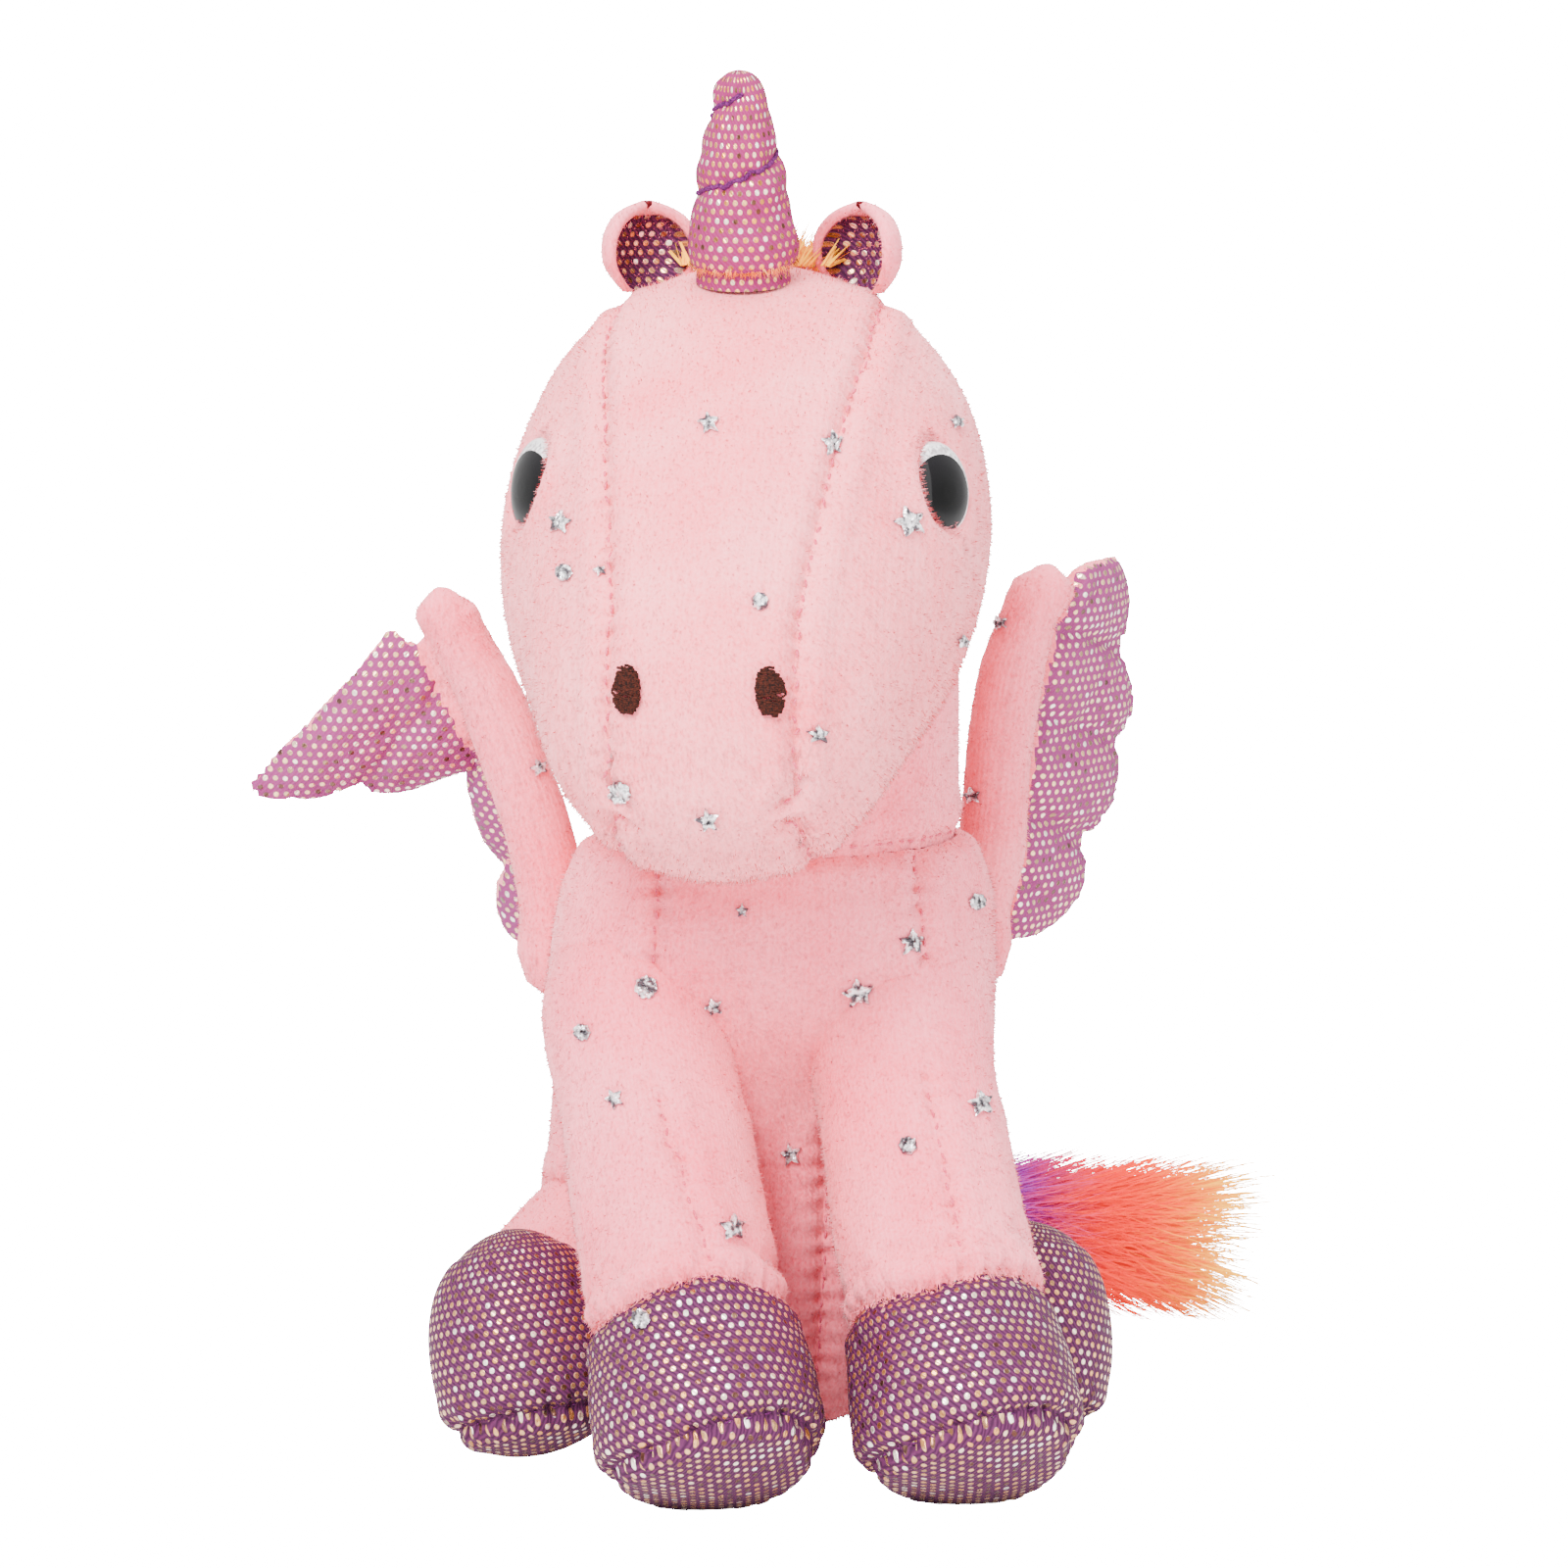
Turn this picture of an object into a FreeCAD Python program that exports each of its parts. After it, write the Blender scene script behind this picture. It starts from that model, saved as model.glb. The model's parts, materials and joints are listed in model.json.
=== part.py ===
"""Sitting plush winged unicorn: sewn fabric shells over stuffing, with jointed roots for sewn-on limbs.

Row frame, millimetres: +Z up, the toy faces -Y, its left is +X, z = 0 is the ground under the seat.
Every fabric cover is a thin shell round the stuffing it holds. A leg, the horn or an ear starts in a
ball in a round socket of its parent, the tail starts in a ball in a bore, and a wing starts in a rod in
a slot. Each of these stands for a root that is sewn on and flexes.
"""
import FreeCAD
import Part

import math
import os

from FreeCAD import Rotation, Vector

os.makedirs("parts", exist_ok=True)

# ---- driving dimensions ----
FABRIC = 1.5            # plush with its backing
FOIL_FABRIC = 0.8       # woven foil-dot fabric
SEAM_GAP = 0.1          # between two panels or a cover and its stuffing
JOINT_GAP = 0.5         # between bodies that move
HALF_SPACE = 900.0      # larger than the toy, for boxes that stand for half spaces
POLE_R = 0.4            # a turned shape ends in a small flat instead of a point
SLIVER = 1.0            # a solid of less volume is a leftover of a cut
RING_POINTS = 16        # that an ellipse is drawn through

# torso and neck: ellipses up the back, as (z, centre x, centre y, half width, half depth)
TORSO = [(0, 2, 26, 30, 29), (5, 2, 26.5, 41, 38), (18, 2.5, 25, 46, 43), (40, 3.5, 22, 47.5, 44),
         (60, 4, 17, 47, 39), (75, 4.2, 11, 46.5, 36), (95, 4.2, 3, 46.5, 38), (112, 4.2, -3, 45.5, 38),
         (122, 4.2, -5, 42.5, 34.5), (127.3, 4.2, -6, 37.5, 30.5)]
NECK = [(127.7, 4.2, -6, 37, 30.5), (150, 4.2, -5, 37.5, 31.5), (175, 4.0, -4, 37, 31)]
CHEST_HALF_WIDTH = 27.0
BELLY_HALF_WIDTH = 9.0
CHEST_SEAM_LOW = 92.0   # where the side seams of the chest turn in towards the belly
BELLY_SEAM_TOP = 70.0

# head: a turned egg from the back of the skull to the muzzle, as (distance along axis, radius)
SKULL_R = 49.0
SKULL = Vector(0, -14, 197)
MUZZLE_DROP_DEG = 35.8
HEAD_PROFILE = [(-49, POLE_R), (-45.3, 18.7), (-34.6, 34.6), (-18.7, 45.3), (0, 49), (14, 49.3), (27, 48),
                (40, 45.2), (52, 41.2), (62, 37.6), (72, 34), (81, 28.6), (88.5, 20.8), (93.6, 12),
                (96, 5.6), (96.6, POLE_R)]
HEAD_YAW_DEG = -12.0
NECK_AXIS = Vector(2, -6, 0)
NOD_DOWN_DEG = 4.0
FACE_HALF_TOP = 27.0    # centre panel of the head, half width at the crown
FACE_HALF_NOSE = 18.5   # and at the nostrils
NOSTRIL = Vector(13.5, -60, 168)
NOSTRIL_HALF = (2.8, 5.0)   # across and up
NOSTRIL_PROUD = 0.8

HORN_LEAN_DEG = 10.0    # forward of upright
HORN_SEAT_DEG = 17.0    # forward of the crown, about the skull centre
HORN_BASE_R = 10.8
HORN_TIP_R = 4.6
HORN_H = 36.0
HORN_LIFT = 2.0
HORN_BALL_R = 10.5
THREAD_R = 0.45
THREAD_PITCH = 16.0
THREAD_TURNS = 1.6
THREAD_START = 10.0     # above the horn's base
THREAD_LIFT = 0.12      # off the fabric
THREAD_STEPS = 26

EYE_R = 10.2
EYE_AZIMUTH_DEG = {"left": 53.0, "right": 50.5}  # from straight ahead; placed by hand, not quite even
EYE_LOOK_TURN_DEG = 6.0  # it looks further out than it sits: its front rim is sunk into the pile
EYE_SINK = 0.9
EYE_Z = 202.0
EYE_DOME_H = 4.6
EYE_BASE_H = 1.6
SHANK_R = 2.0
SHANK_L = 13.0
WASHER_R = 8.5
WASHER_H = 1.4
WASHER_DEPTH = 6.0      # behind the eye's seat
EYE_ROOM = 0.2          # round each of the eye's parts in what holds it

# an ear stood on its root, as ellipses like the torso's
EAR_OUTLINE = [(5.6, 0, 0.5, 4.2, 3.8), (7.4, 0, 0.5, 7.0, 5.8), (10, 0, 0.5, 9.8, 7.2),
               (13, 0, 0.5, 10.4, 7.6), (16, 0, 0, 8.4, 6.2), (18.5, 0, 0, 5.4, 4.4), (20, 0, 0, 2.8, 2.8)]
EAR_CUT_Y = 0.5
EAR_TURN_DEG = 18.0
EAR_SPLAY_DEG = 2.0
EAR_ROOT = Vector(22, -11.5, 238.5)
EAR_BALL_R = 6.0

SHOULDER = Vector(26.5, -18, 92)
FRONT_LEG_R = 19.0
FRONT_LEG_PROFILE = [(-19, POLE_R), (-17.5, 7.4), (-13.4, 13.4), (-7.4, 17.5), (0, FRONT_LEG_R),
                     (14, 18.6), (44, 18.8), (66, 19.8), (80, 21.8), (91, 22.4), (97.5, 21.2),
                     (101.8, 18), (104.4, 12.8), (105.7, 6.6), (106, POLE_R)]
FRONT_ANKLE = 69.0
FRONT_SOLE = 99.0
FRONT_FOOT = {"left": Vector(37, -77, 12.1), "right": Vector(-14.5, -77, 12.1)}
FRONT_SWEEP_L = 60.0    # how far down the leg the chest makes room for it
LEG_RAISE_DEG = (-50, -35, -20, -8, 0)

HIP_SHIFT = 1.5         # the hips sit a little to the left of the head
HIP = Vector(34, 14, 36)
HIND_ANKLE = Vector(47, -10, 25)
HIND_R = 17.0
HIND_HOOF_TOP = Vector(54.5, -17, 43.2)
HIND_HOOF_LOW = Vector(47.5, -32, -0.3)
HIND_HOOF_PROFILE = [(-3, POLE_R), (-2, 5.2), (0.8, 10.3), (6.5, 15.4), (14, 18.4), (22, 19.6), (29.5, 19.2),
                     (36, 16.6), (40, 12.6), (42.7, 7), (43.7, POLE_R)]
HIND_SOLE = 36.5
HIND_THROAT_R = 13.0    # the opening that joins the filling of the thigh and of the hoof
HIND_THROAT_PAST_ANKLE = 8.0
HIND_SPLAY_DEG = (35, 22, 10, 0)

WING_SHIFT = 3.75       # and so do the wings
WING_ROOT = (Vector(43.25, 14, 98), Vector(48.25, 14, 124))
WING_BAND_R = 6.8
WING_BAND_TIP_R = 4.5
WING_SOCKET_GAP = 1.6   # round the sewn-on root of the band
WING_FOIL_CLEAR = 1.7   # between the band and the feathers
WING_PAD = 3.2          # half thickness of a feather's middle
WING_NOTCH = 1.3        # half thickness on a quilting line
# the leading edge above the root, from the shoulder to the wrist
WING_ARM = {"left": [(53, 13.5, 139), (54.5, 13, 152), (57.5, 13, 166), (61.5, 13, 174), (67.5, 13, 179.5)],
            "right": [(-49, 13.5, 138), (-54, 13, 152), (-59, 12.5, 163), (-64, 12, 171),
                      (-69.5, 12, 175.5)]}
# quilting lines from the band to the trailing edge, top first: (place along the band, far point)
WING_QUILTS = {"left": [(7.0, (82, 40, 180.5)), (5.5, (82, 39, 160)), (4.0, (81.5, 38, 140.5)),
                        (2.5, (73.5, 34, 119.5)), (0.2, (62, 27, 99))],
               "right": [(7.0, (-106, 15, 136)), (5.1, (-82, 18, 135.5)), (3.7, (-58, 28, 139.5)),
                         (2.1, (-51, 34, 115)), (0.2, (-47, 26, 99))]}
FEATHER_LOBES = (4.5, 6.0, 6.0, 8.0)   # how far each feather's end reaches past its quilting lines
FEATHER_STEPS = 6
FEATHER_ROUNDNESS = 0.6                # a lower power makes a blunter feather
FEATHER_CHORD = ((0.0, 0.75), (0.33, 1.0), (0.7, 0.85), (1.0, 0.35))   # (share of its length, thickness)
WING_LAYERS = (("front_panel", 0.8, 1.0), ("padding", -0.76, 0.76), ("back_panel", -1.0, -0.8))
WING_SLOT_SPARE = 6.0                  # the slot runs past both ends of the root

TAIL_PATH = [((4, 72, 28), 5), ((14, 85, 26), 10), ((40, 93, 22), 17), ((78, 88, 20.5), 20),
             ((108, 78, 22), 15), ((121, 72, 23), 5)]
TAIL_ROOT = Vector(4, 68, 28)
TAIL_BALL_R = 7.0
TAIL_CORE_R = 3.5
MANE_HALF_WIDTH = 11.0
MANE_THICK = 9.0
MANE_CROWN_DEG = (2, 88)    # from behind the horn down the back of the skull
MANE_NECK_Z = (130.0, 149.0)
MANE_NECK_Y = 25.5
MANE_EAR_ROOM = 14.0


# ---- shape helpers ----
def export(name, shape):
    """Writes one node, dropping slivers that a cut may leave."""
    solids = [s for s in shape.Solids if s.Volume > SLIVER]
    made = solids[0] if len(solids) == 1 else Part.makeCompound(solids)
    if not made.isValid():
        print("INVALID", name)
    made.exportStep(f"parts/{name}.step")
    box = made.BoundBox
    print(f"{name:28s} {len(solids)} solid(s) {made.Volume:10.1f} mm3  x {box.XMin:.1f}..{box.XMax:.1f}"
          f"  y {box.YMin:.1f}..{box.YMax:.1f}  z {box.ZMin:.1f}..{box.ZMax:.1f}")


def ellipse_wire(z, centre_x, centre_y, half_x, half_y):
    """A level ellipse as a periodic curve that always starts on the same side, so a loft doesn't twist."""
    points = [Vector(centre_x + half_x * math.cos(a), centre_y + half_y * math.sin(a), z)
              for a in (2 * math.pi * i / RING_POINTS for i in range(RING_POINTS))]
    curve = Part.BSplineCurve()
    curve.interpolate(Points=points, PeriodicFlag=True)
    return Part.Wire(curve.toShape())


def stacked_ellipses(rows, inset=0.0, end_inset=0.0):
    """A closed solid through level ellipses. The inset makes the stuffing that fits inside it."""
    low, high = rows[0][0], rows[-1][0]
    wires = []
    for z, centre_x, centre_y, half_x, half_y in rows:
        level = min(max(z, low + end_inset), high - end_inset) if z in (low, high) else z
        wires.append(ellipse_wire(level, centre_x, centre_y, half_x - inset, half_y - inset))
    return Part.makeLoft(wires, True, False)


def inset_profile(profile, t):
    """Moves a turned profile's points in by t along their normals."""
    moved = []
    last = len(profile) - 1
    for i, (s, r) in enumerate(profile):
        if i == 0:
            moved.append((s + t, r))
        elif i == last:
            moved.append((s - t, r))
        else:
            ds = profile[i + 1][0] - profile[i - 1][0]
            dr = profile[i + 1][1] - profile[i - 1][1]
            length = math.hypot(ds, dr)
            moved.append((s + t * dr / length, r - t * ds / length))
    return moved


def profile_curve(profile):
    """The profile as a smooth edge in the XZ plane, square to the axis at both ends."""
    points = [Vector(r, 0, s) for s, r in profile]
    curve = Part.BSplineCurve()
    curve.interpolate(Points=points, InitialTangent=Vector(1, 0, 0), FinalTangent=Vector(-1, 0, 0))
    return curve.toShape(), points[0], points[-1]


def spun(outline, base, axis):
    """Turns a flat outline about +Z and puts it with its zero at base and +Z along axis."""
    solid = Part.Face(Part.Wire(outline)).revolve(Vector(0, 0, 0), Vector(0, 0, 1), 360)
    solid.rotate(Vector(0, 0, 0), *axis_turn(axis))
    solid.translate(base)
    return solid


def turned(profile, base, axis):
    """A solid of revolution: the profile's distances run from base along axis."""
    edge, start, end = profile_curve(profile)
    low, high = Vector(0, 0, start.z), Vector(0, 0, end.z)
    outline = [Part.makeLine(low, start), edge, Part.makeLine(end, high), Part.makeLine(high, low)]
    return spun(outline, base, axis)


def turned_shell(profile, thick, base, axis):
    """The same, hollow, with a wall of the given thickness."""
    outer, start, end = profile_curve(profile)
    inner, inner_start, inner_end = profile_curve(inset_profile(profile, thick))
    rim = [Vector(0, 0, p.z) for p in (start, end, inner_end, inner_start)]
    outline = [Part.makeLine(rim[0], start), outer, Part.makeLine(end, rim[1]),
               Part.makeLine(rim[1], rim[2]), Part.makeLine(rim[2], inner_end), inner,
               Part.makeLine(inner_start, rim[3]), Part.makeLine(rim[3], rim[0])]
    return spun(outline, base, axis)


def carved(shape, tools):
    """Cuts one tool at a time, which is slower but never drops one."""
    for tool in tools:
        shape = shape.cut(tool)
    return shape


def axis_turn(axis):
    """The axis and angle that carry +Z onto a direction."""
    turn = Rotation(Vector(0, 0, 1), axis)
    return turn.Axis, math.degrees(turn.Angle)


def beyond(base, axis):
    """A box that fills the half space past base along axis."""
    box = Part.makeBox(HALF_SPACE, HALF_SPACE, HALF_SPACE, Vector(-HALF_SPACE / 2, -HALF_SPACE / 2, 0))
    box.rotate(Vector(0, 0, 0), *axis_turn(axis))
    box.translate(base)
    return box


def ball(centre, radius):
    """A sphere that sits in a socket."""
    return Part.makeSphere(radius, centre)


def rotated(shape, centre, axis, degrees):
    """A turned copy."""
    made = shape.copy()
    made.rotate(centre, axis, degrees)
    return made


def head_turned(shape):
    """Carries a shape of the straight-ahead head to where the head looks at rest."""
    return rotated(shape, NECK_AXIS, Vector(0, 0, 1), HEAD_YAW_DEG)


def tube(path):
    """A solid through circles given as ((x, y, z), radius), each square to the path."""
    centres = [Vector(c) for c, _ in path]
    wires = []
    for i, (_, radius) in enumerate(path):
        before, after = centres[max(i - 1, 0)], centres[min(i + 1, len(path) - 1)]
        wires.append(Part.Wire(Part.makeCircle(radius, centres[i], after - before)))
    return Part.makeLoft(wires, True, False)


# ---- head ----
def head_axis():
    drop = math.radians(MUZZLE_DROP_DEG)
    return Vector(0, -math.cos(drop), -math.sin(drop))


def head_egg(inset=0.0):
    return turned(inset_profile(HEAD_PROFILE, inset) if inset else HEAD_PROFILE, SKULL, head_axis())


def face_prism(extra=0.0):
    """A prism through the head, square to its face, whose sides are the two long seams."""
    top, nose = FACE_HALF_TOP + extra, FACE_HALF_NOSE + extra
    outline = [(-top, 300), (-top, 240), (-nose - 3, 195), (-nose, 165), (-nose - 2, 130), (-nose - 2, 90)]
    left = Part.BSplineCurve()
    left.interpolate(Points=[Vector(x, -200, z) for x, z in outline])
    right = Part.BSplineCurve()
    right.interpolate(Points=[Vector(-x, -200, z) for x, z in reversed(outline)])
    edges = [left.toShape(), Part.makeLine(left.EndPoint, right.StartPoint), right.toShape(),
             Part.makeLine(right.EndPoint, left.StartPoint)]
    return Part.Face(Part.Wire(edges)).extrude(Vector(0, 400, 0))


def eye_place(side, label):
    """Where the eye's shank meets the fabric, and the direction it looks."""
    rise = (EYE_Z - SKULL.z) / SKULL_R
    turns = (EYE_AZIMUTH_DEG[label], EYE_AZIMUTH_DEG[label] + EYE_LOOK_TURN_DEG)
    sits, looks = [Vector(side * math.sin(a), -math.cos(a), rise).normalize()
                   for a in map(math.radians, turns)]
    return SKULL + sits * (SKULL_R - EYE_SINK), looks


def build_eye(side, label):
    """A safety eye: printed base with its shank, a clear dome over it and the lock washer inside."""
    seat, out = eye_place(side, label)
    shank = Part.makeCylinder(SHANK_R, SHANK_L, seat, out * -1)
    base = Part.makeCylinder(EYE_R, EYE_BASE_H, seat, out).fuse(shank)
    dome_r = (EYE_R ** 2 + EYE_DOME_H ** 2) / (2 * EYE_DOME_H)
    dome_foot = seat + out * (EYE_BASE_H + SEAM_GAP)
    dome = Part.makeSphere(dome_r, dome_foot + out * (EYE_DOME_H - dome_r)).common(beyond(dome_foot, out))
    washer_at = seat - out * WASHER_DEPTH
    bore = Part.makeCylinder(SHANK_R + SEAM_GAP / 2, 3 * WASHER_H, washer_at + out * WASHER_H, out * -1)
    washer = Part.makeCylinder(WASHER_R, WASHER_H, washer_at, out * -1).cut(bore)
    export(f"{label}_eye_base", head_turned(base))
    export(f"{label}_eye_dome", head_turned(dome))
    export(f"{label}_eye_washer", head_turned(washer))
    shank_room = Part.makeCylinder(SHANK_R + EYE_ROOM, SHANK_L + 2, seat + out, out * -1)
    seat_room = Part.makeCylinder(EYE_R + EYE_ROOM, EYE_R, seat - out * (SEAM_GAP / 2), out)
    washer_room = Part.makeCylinder(WASHER_R + EYE_ROOM, WASHER_H + 2 * EYE_ROOM, washer_at + out * EYE_ROOM,
                                    out * -1)
    return [shank_room, seat_room], [shank_room, seat_room, washer_room]


def build_nostril(side, label):
    """A satin-stitched oval lying on the muzzle."""
    at = Vector(side * NOSTRIL.x, NOSTRIL.y, NOSTRIL.z)
    across, up = NOSTRIL_HALF
    oval = Part.Ellipse(at + Vector(0, 0, up), at + Vector(across, 0, 0), at).toShape()
    patch = Part.Face(Part.Wire(oval)).extrude(Vector(0, NOSTRIL.y, 0))
    layer = head_egg(-NOSTRIL_PROUD).cut(head_egg(-SEAM_GAP / 2))
    export(f"{label}_nostril_embroidery", head_turned(layer.common(patch)))


def horn_frame():
    seat = math.radians(HORN_SEAT_DEG)
    lean = math.radians(HORN_LEAN_DEG)
    up = Vector(0, -math.sin(lean), math.cos(lean))
    base = SKULL + Vector(0, -math.sin(seat), math.cos(seat)) * SKULL_R + up * HORN_LIFT
    return base, up


def horn_solid(inset=0.0):
    """A cone on a ball root with a rounded tip."""
    base, up = horn_frame()
    cone = Part.makeCone(HORN_BASE_R - inset, HORN_TIP_R - inset, HORN_H, base, up)
    tip = Part.makeSphere(HORN_TIP_R - inset, base + up * HORN_H)
    return cone.fuse([tip, ball(base, HORN_BALL_R - inset)])


def build_horn():
    base, up = horn_frame()
    outer, inner = horn_solid(), horn_solid(FOIL_FABRIC)
    export("horn_cover", head_turned(outer.cut(inner)))
    export("horn_stuffing", head_turned(horn_solid(FOIL_FABRIC + SEAM_GAP)))
    points = []
    for i in range(THREAD_STEPS + 1):
        turns = THREAD_TURNS * i / THREAD_STEPS
        rise = THREAD_START + THREAD_PITCH * turns
        radius = HORN_BASE_R + (HORN_TIP_R - HORN_BASE_R) * rise / HORN_H + THREAD_R + THREAD_LIFT
        turn = 2 * math.pi * turns
        points.append(Vector(radius * math.cos(turn), radius * math.sin(turn), rise))
    spiral = Part.BSplineCurve()
    spiral.interpolate(Points=points)
    edge = spiral.toShape()
    section = Part.Wire(Part.makeCircle(THREAD_R, points[0], spiral.tangent(spiral.FirstParameter)[0]))
    thread = Part.Wire([edge]).makePipeShell([section], True, True)
    thread.rotate(Vector(0, 0, 0), *axis_turn(up))
    thread.translate(base)
    export("horn_thread", head_turned(thread.cut(horn_solid(-SEAM_GAP / 2))))


def ear_layer(inset, thick):
    """The back half of a pointed egg shell, so that the ear's hollow faces forward."""
    outer = stacked_ellipses(EAR_OUTLINE, inset, inset)
    inner = stacked_ellipses(EAR_OUTLINE, inset + thick, inset + thick)
    return outer.cut(inner).common(beyond(Vector(0, EAR_CUT_Y, 0), Vector(0, 1, 0)))


def build_ear(side, label):
    """A cupped ear, plush outside and foil fabric inside, leaning in towards the horn."""
    root = Vector(side * EAR_ROOT.x, EAR_ROOT.y, EAR_ROOT.z)
    stem = ball(Vector(0, 0, 0), EAR_BALL_R)
    outer = ear_layer(0.0, FABRIC).fuse(stem)
    lining = ear_layer(FABRIC + SEAM_GAP, FOIL_FABRIC)
    for name, shape in ((f"{label}_ear_outer", outer), (f"{label}_ear_lining", lining)):
        placed = rotated(shape, Vector(0, 0, 0), Vector(0, 0, 1), side * EAR_TURN_DEG)
        placed = rotated(placed, Vector(0, 0, 0), Vector(0, 1, 0), side * EAR_SPLAY_DEG)
        placed.translate(root)
        export(name, head_turned(placed))
    return ball(root, EAR_BALL_R + JOINT_GAP)


def mane_arc(centre_y, centre_z, inner_r, thick, from_deg, to_deg):
    """A strip of fur bent round an axis along X, from one angle to another behind upright."""
    edge, width, sideways = Vector(-MANE_HALF_WIDTH, 0, 0), 2 * MANE_HALF_WIDTH, Vector(1, 0, 0)
    hub = Vector(0, centre_y, centre_z)
    strip = Part.makeCylinder(inner_r + thick, width, hub + edge, sideways)
    strip = strip.cut(Part.makeCylinder(inner_r, 2 * width, hub + edge * 2, sideways))
    a, b = math.radians(from_deg), math.radians(to_deg)
    reach = 2 * (inner_r + thick)
    rays = [hub + Vector(0, math.sin(t), math.cos(t)) * reach for t in (a, (a + b) / 2, b)]
    wedge = Part.Face(Part.makePolygon([hub, *rays, hub])).extrude(sideways * (2 * width))
    wedge.translate(edge * 2)
    return strip.common(wedge)


def build_head():
    skin_rooms, inner_rooms = [], []
    for side, label in ((1, "left"), (-1, "right")):
        in_skin, in_stuffing = build_eye(side, label)
        build_nostril(side, label)
        socket = build_ear(side, label)
        skin_rooms += in_skin + [socket]
        inner_rooms += in_stuffing + [socket]
    build_horn()
    base, _ = horn_frame()
    horn_socket = ball(base, HORN_BALL_R + JOINT_GAP)
    shell = carved(turned_shell(HEAD_PROFILE, FABRIC, SKULL, head_axis()), [*skin_rooms, horn_socket])
    export("head_centre_panel", head_turned(shell.common(face_prism())))
    sides = shell.cut(face_prism(SEAM_GAP))
    export("head_left_panel", head_turned(sides.common(beyond(Vector(0, 0, 0), Vector(1, 0, 0)))))
    export("head_right_panel", head_turned(sides.common(beyond(Vector(0, 0, 0), Vector(-1, 0, 0)))))
    export("head_stuffing", head_turned(carved(head_egg(FABRIC + SEAM_GAP), [*inner_rooms, horn_socket])))
    crown = mane_arc(SKULL.y, SKULL.z, SKULL_R + SEAM_GAP, MANE_THICK, *MANE_CROWN_DEG)
    ears = [ball(Vector(s * EAR_ROOT.x, EAR_ROOT.y, EAR_ROOT.z), MANE_EAR_ROOM) for s in (1, -1)]
    export("mane_crown", head_turned(carved(crown, ears)))


# ---- neck and torso ----
def head_envelope():
    """The space that the head sweeps over the neck as it nods."""
    nods = [rotated(head_egg(-JOINT_GAP), SKULL, Vector(1, 0, 0), a) for a in (0, NOD_DOWN_DEG)]
    return [head_turned(shape) for shape in (*nods, ball(SKULL, SKULL_R + JOINT_GAP))]


def build_neck(envelope):
    outer, inner = stacked_ellipses(NECK), stacked_ellipses(NECK, FABRIC)
    export("neck_cover", carved(outer, [*envelope, inner]))
    export("neck_stuffing", carved(stacked_ellipses(NECK, FABRIC + SEAM_GAP), envelope))
    low, high = MANE_NECK_Z
    corner = Vector(NECK_AXIS.x - MANE_HALF_WIDTH, MANE_NECK_Y, low)
    strip = Part.makeBox(2 * MANE_HALF_WIDTH, MANE_THICK, high - low, corner)
    crown_room = head_turned(ball(SKULL, SKULL_R + MANE_THICK + 2 * JOINT_GAP))
    export("mane_neck", carved(strip, [outer, *envelope, crown_room]))


def limb_sweep(pivot, start, end, radius, axis, angles):
    """The room that a tube-shaped limb takes out of the torso as it turns about the pivot."""
    rooms = []
    for angle in angles:
        tube_room = Part.makeCylinder(radius + JOINT_GAP, (end - start).Length, start, end - start)
        rooms.append(rotated(tube_room, pivot, axis, angle))
    return rooms


def chest_prism(extra=0.0):
    """Seen from the front: wide over the chest, turning in between the front legs, narrow over the belly."""
    chest, belly = CHEST_HALF_WIDTH + extra, BELLY_HALF_WIDTH + extra
    points = [Vector(-chest, -100, 140), Vector(-chest, -100, CHEST_SEAM_LOW),
              Vector(-belly, -100, BELLY_SEAM_TOP), Vector(-belly, -100, -1)]
    outline = points + [Vector(-p.x, p.y, p.z) for p in reversed(points)] + points[:1]
    return Part.Face(Part.makePolygon(outline)).extrude(Vector(0, 115, 0))


def build_torso(sockets, envelope):
    outer, inner = stacked_ellipses(TORSO), stacked_ellipses(TORSO, FABRIC, FABRIC)
    shell = carved(outer, [*sockets, *envelope, inner])
    export("chest_belly_panel", shell.common(chest_prism()))
    sides = shell.cut(chest_prism(SEAM_GAP))
    half = SEAM_GAP / 2
    export("torso_left_panel", sides.common(beyond(Vector(half, 0, 0), Vector(1, 0, 0))))
    export("torso_right_panel", sides.common(beyond(Vector(-half, 0, 0), Vector(-1, 0, 0))))
    filling = stacked_ellipses(TORSO, FABRIC + SEAM_GAP, FABRIC + SEAM_GAP)
    export("torso_stuffing", carved(filling, [*sockets, *envelope]))


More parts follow.
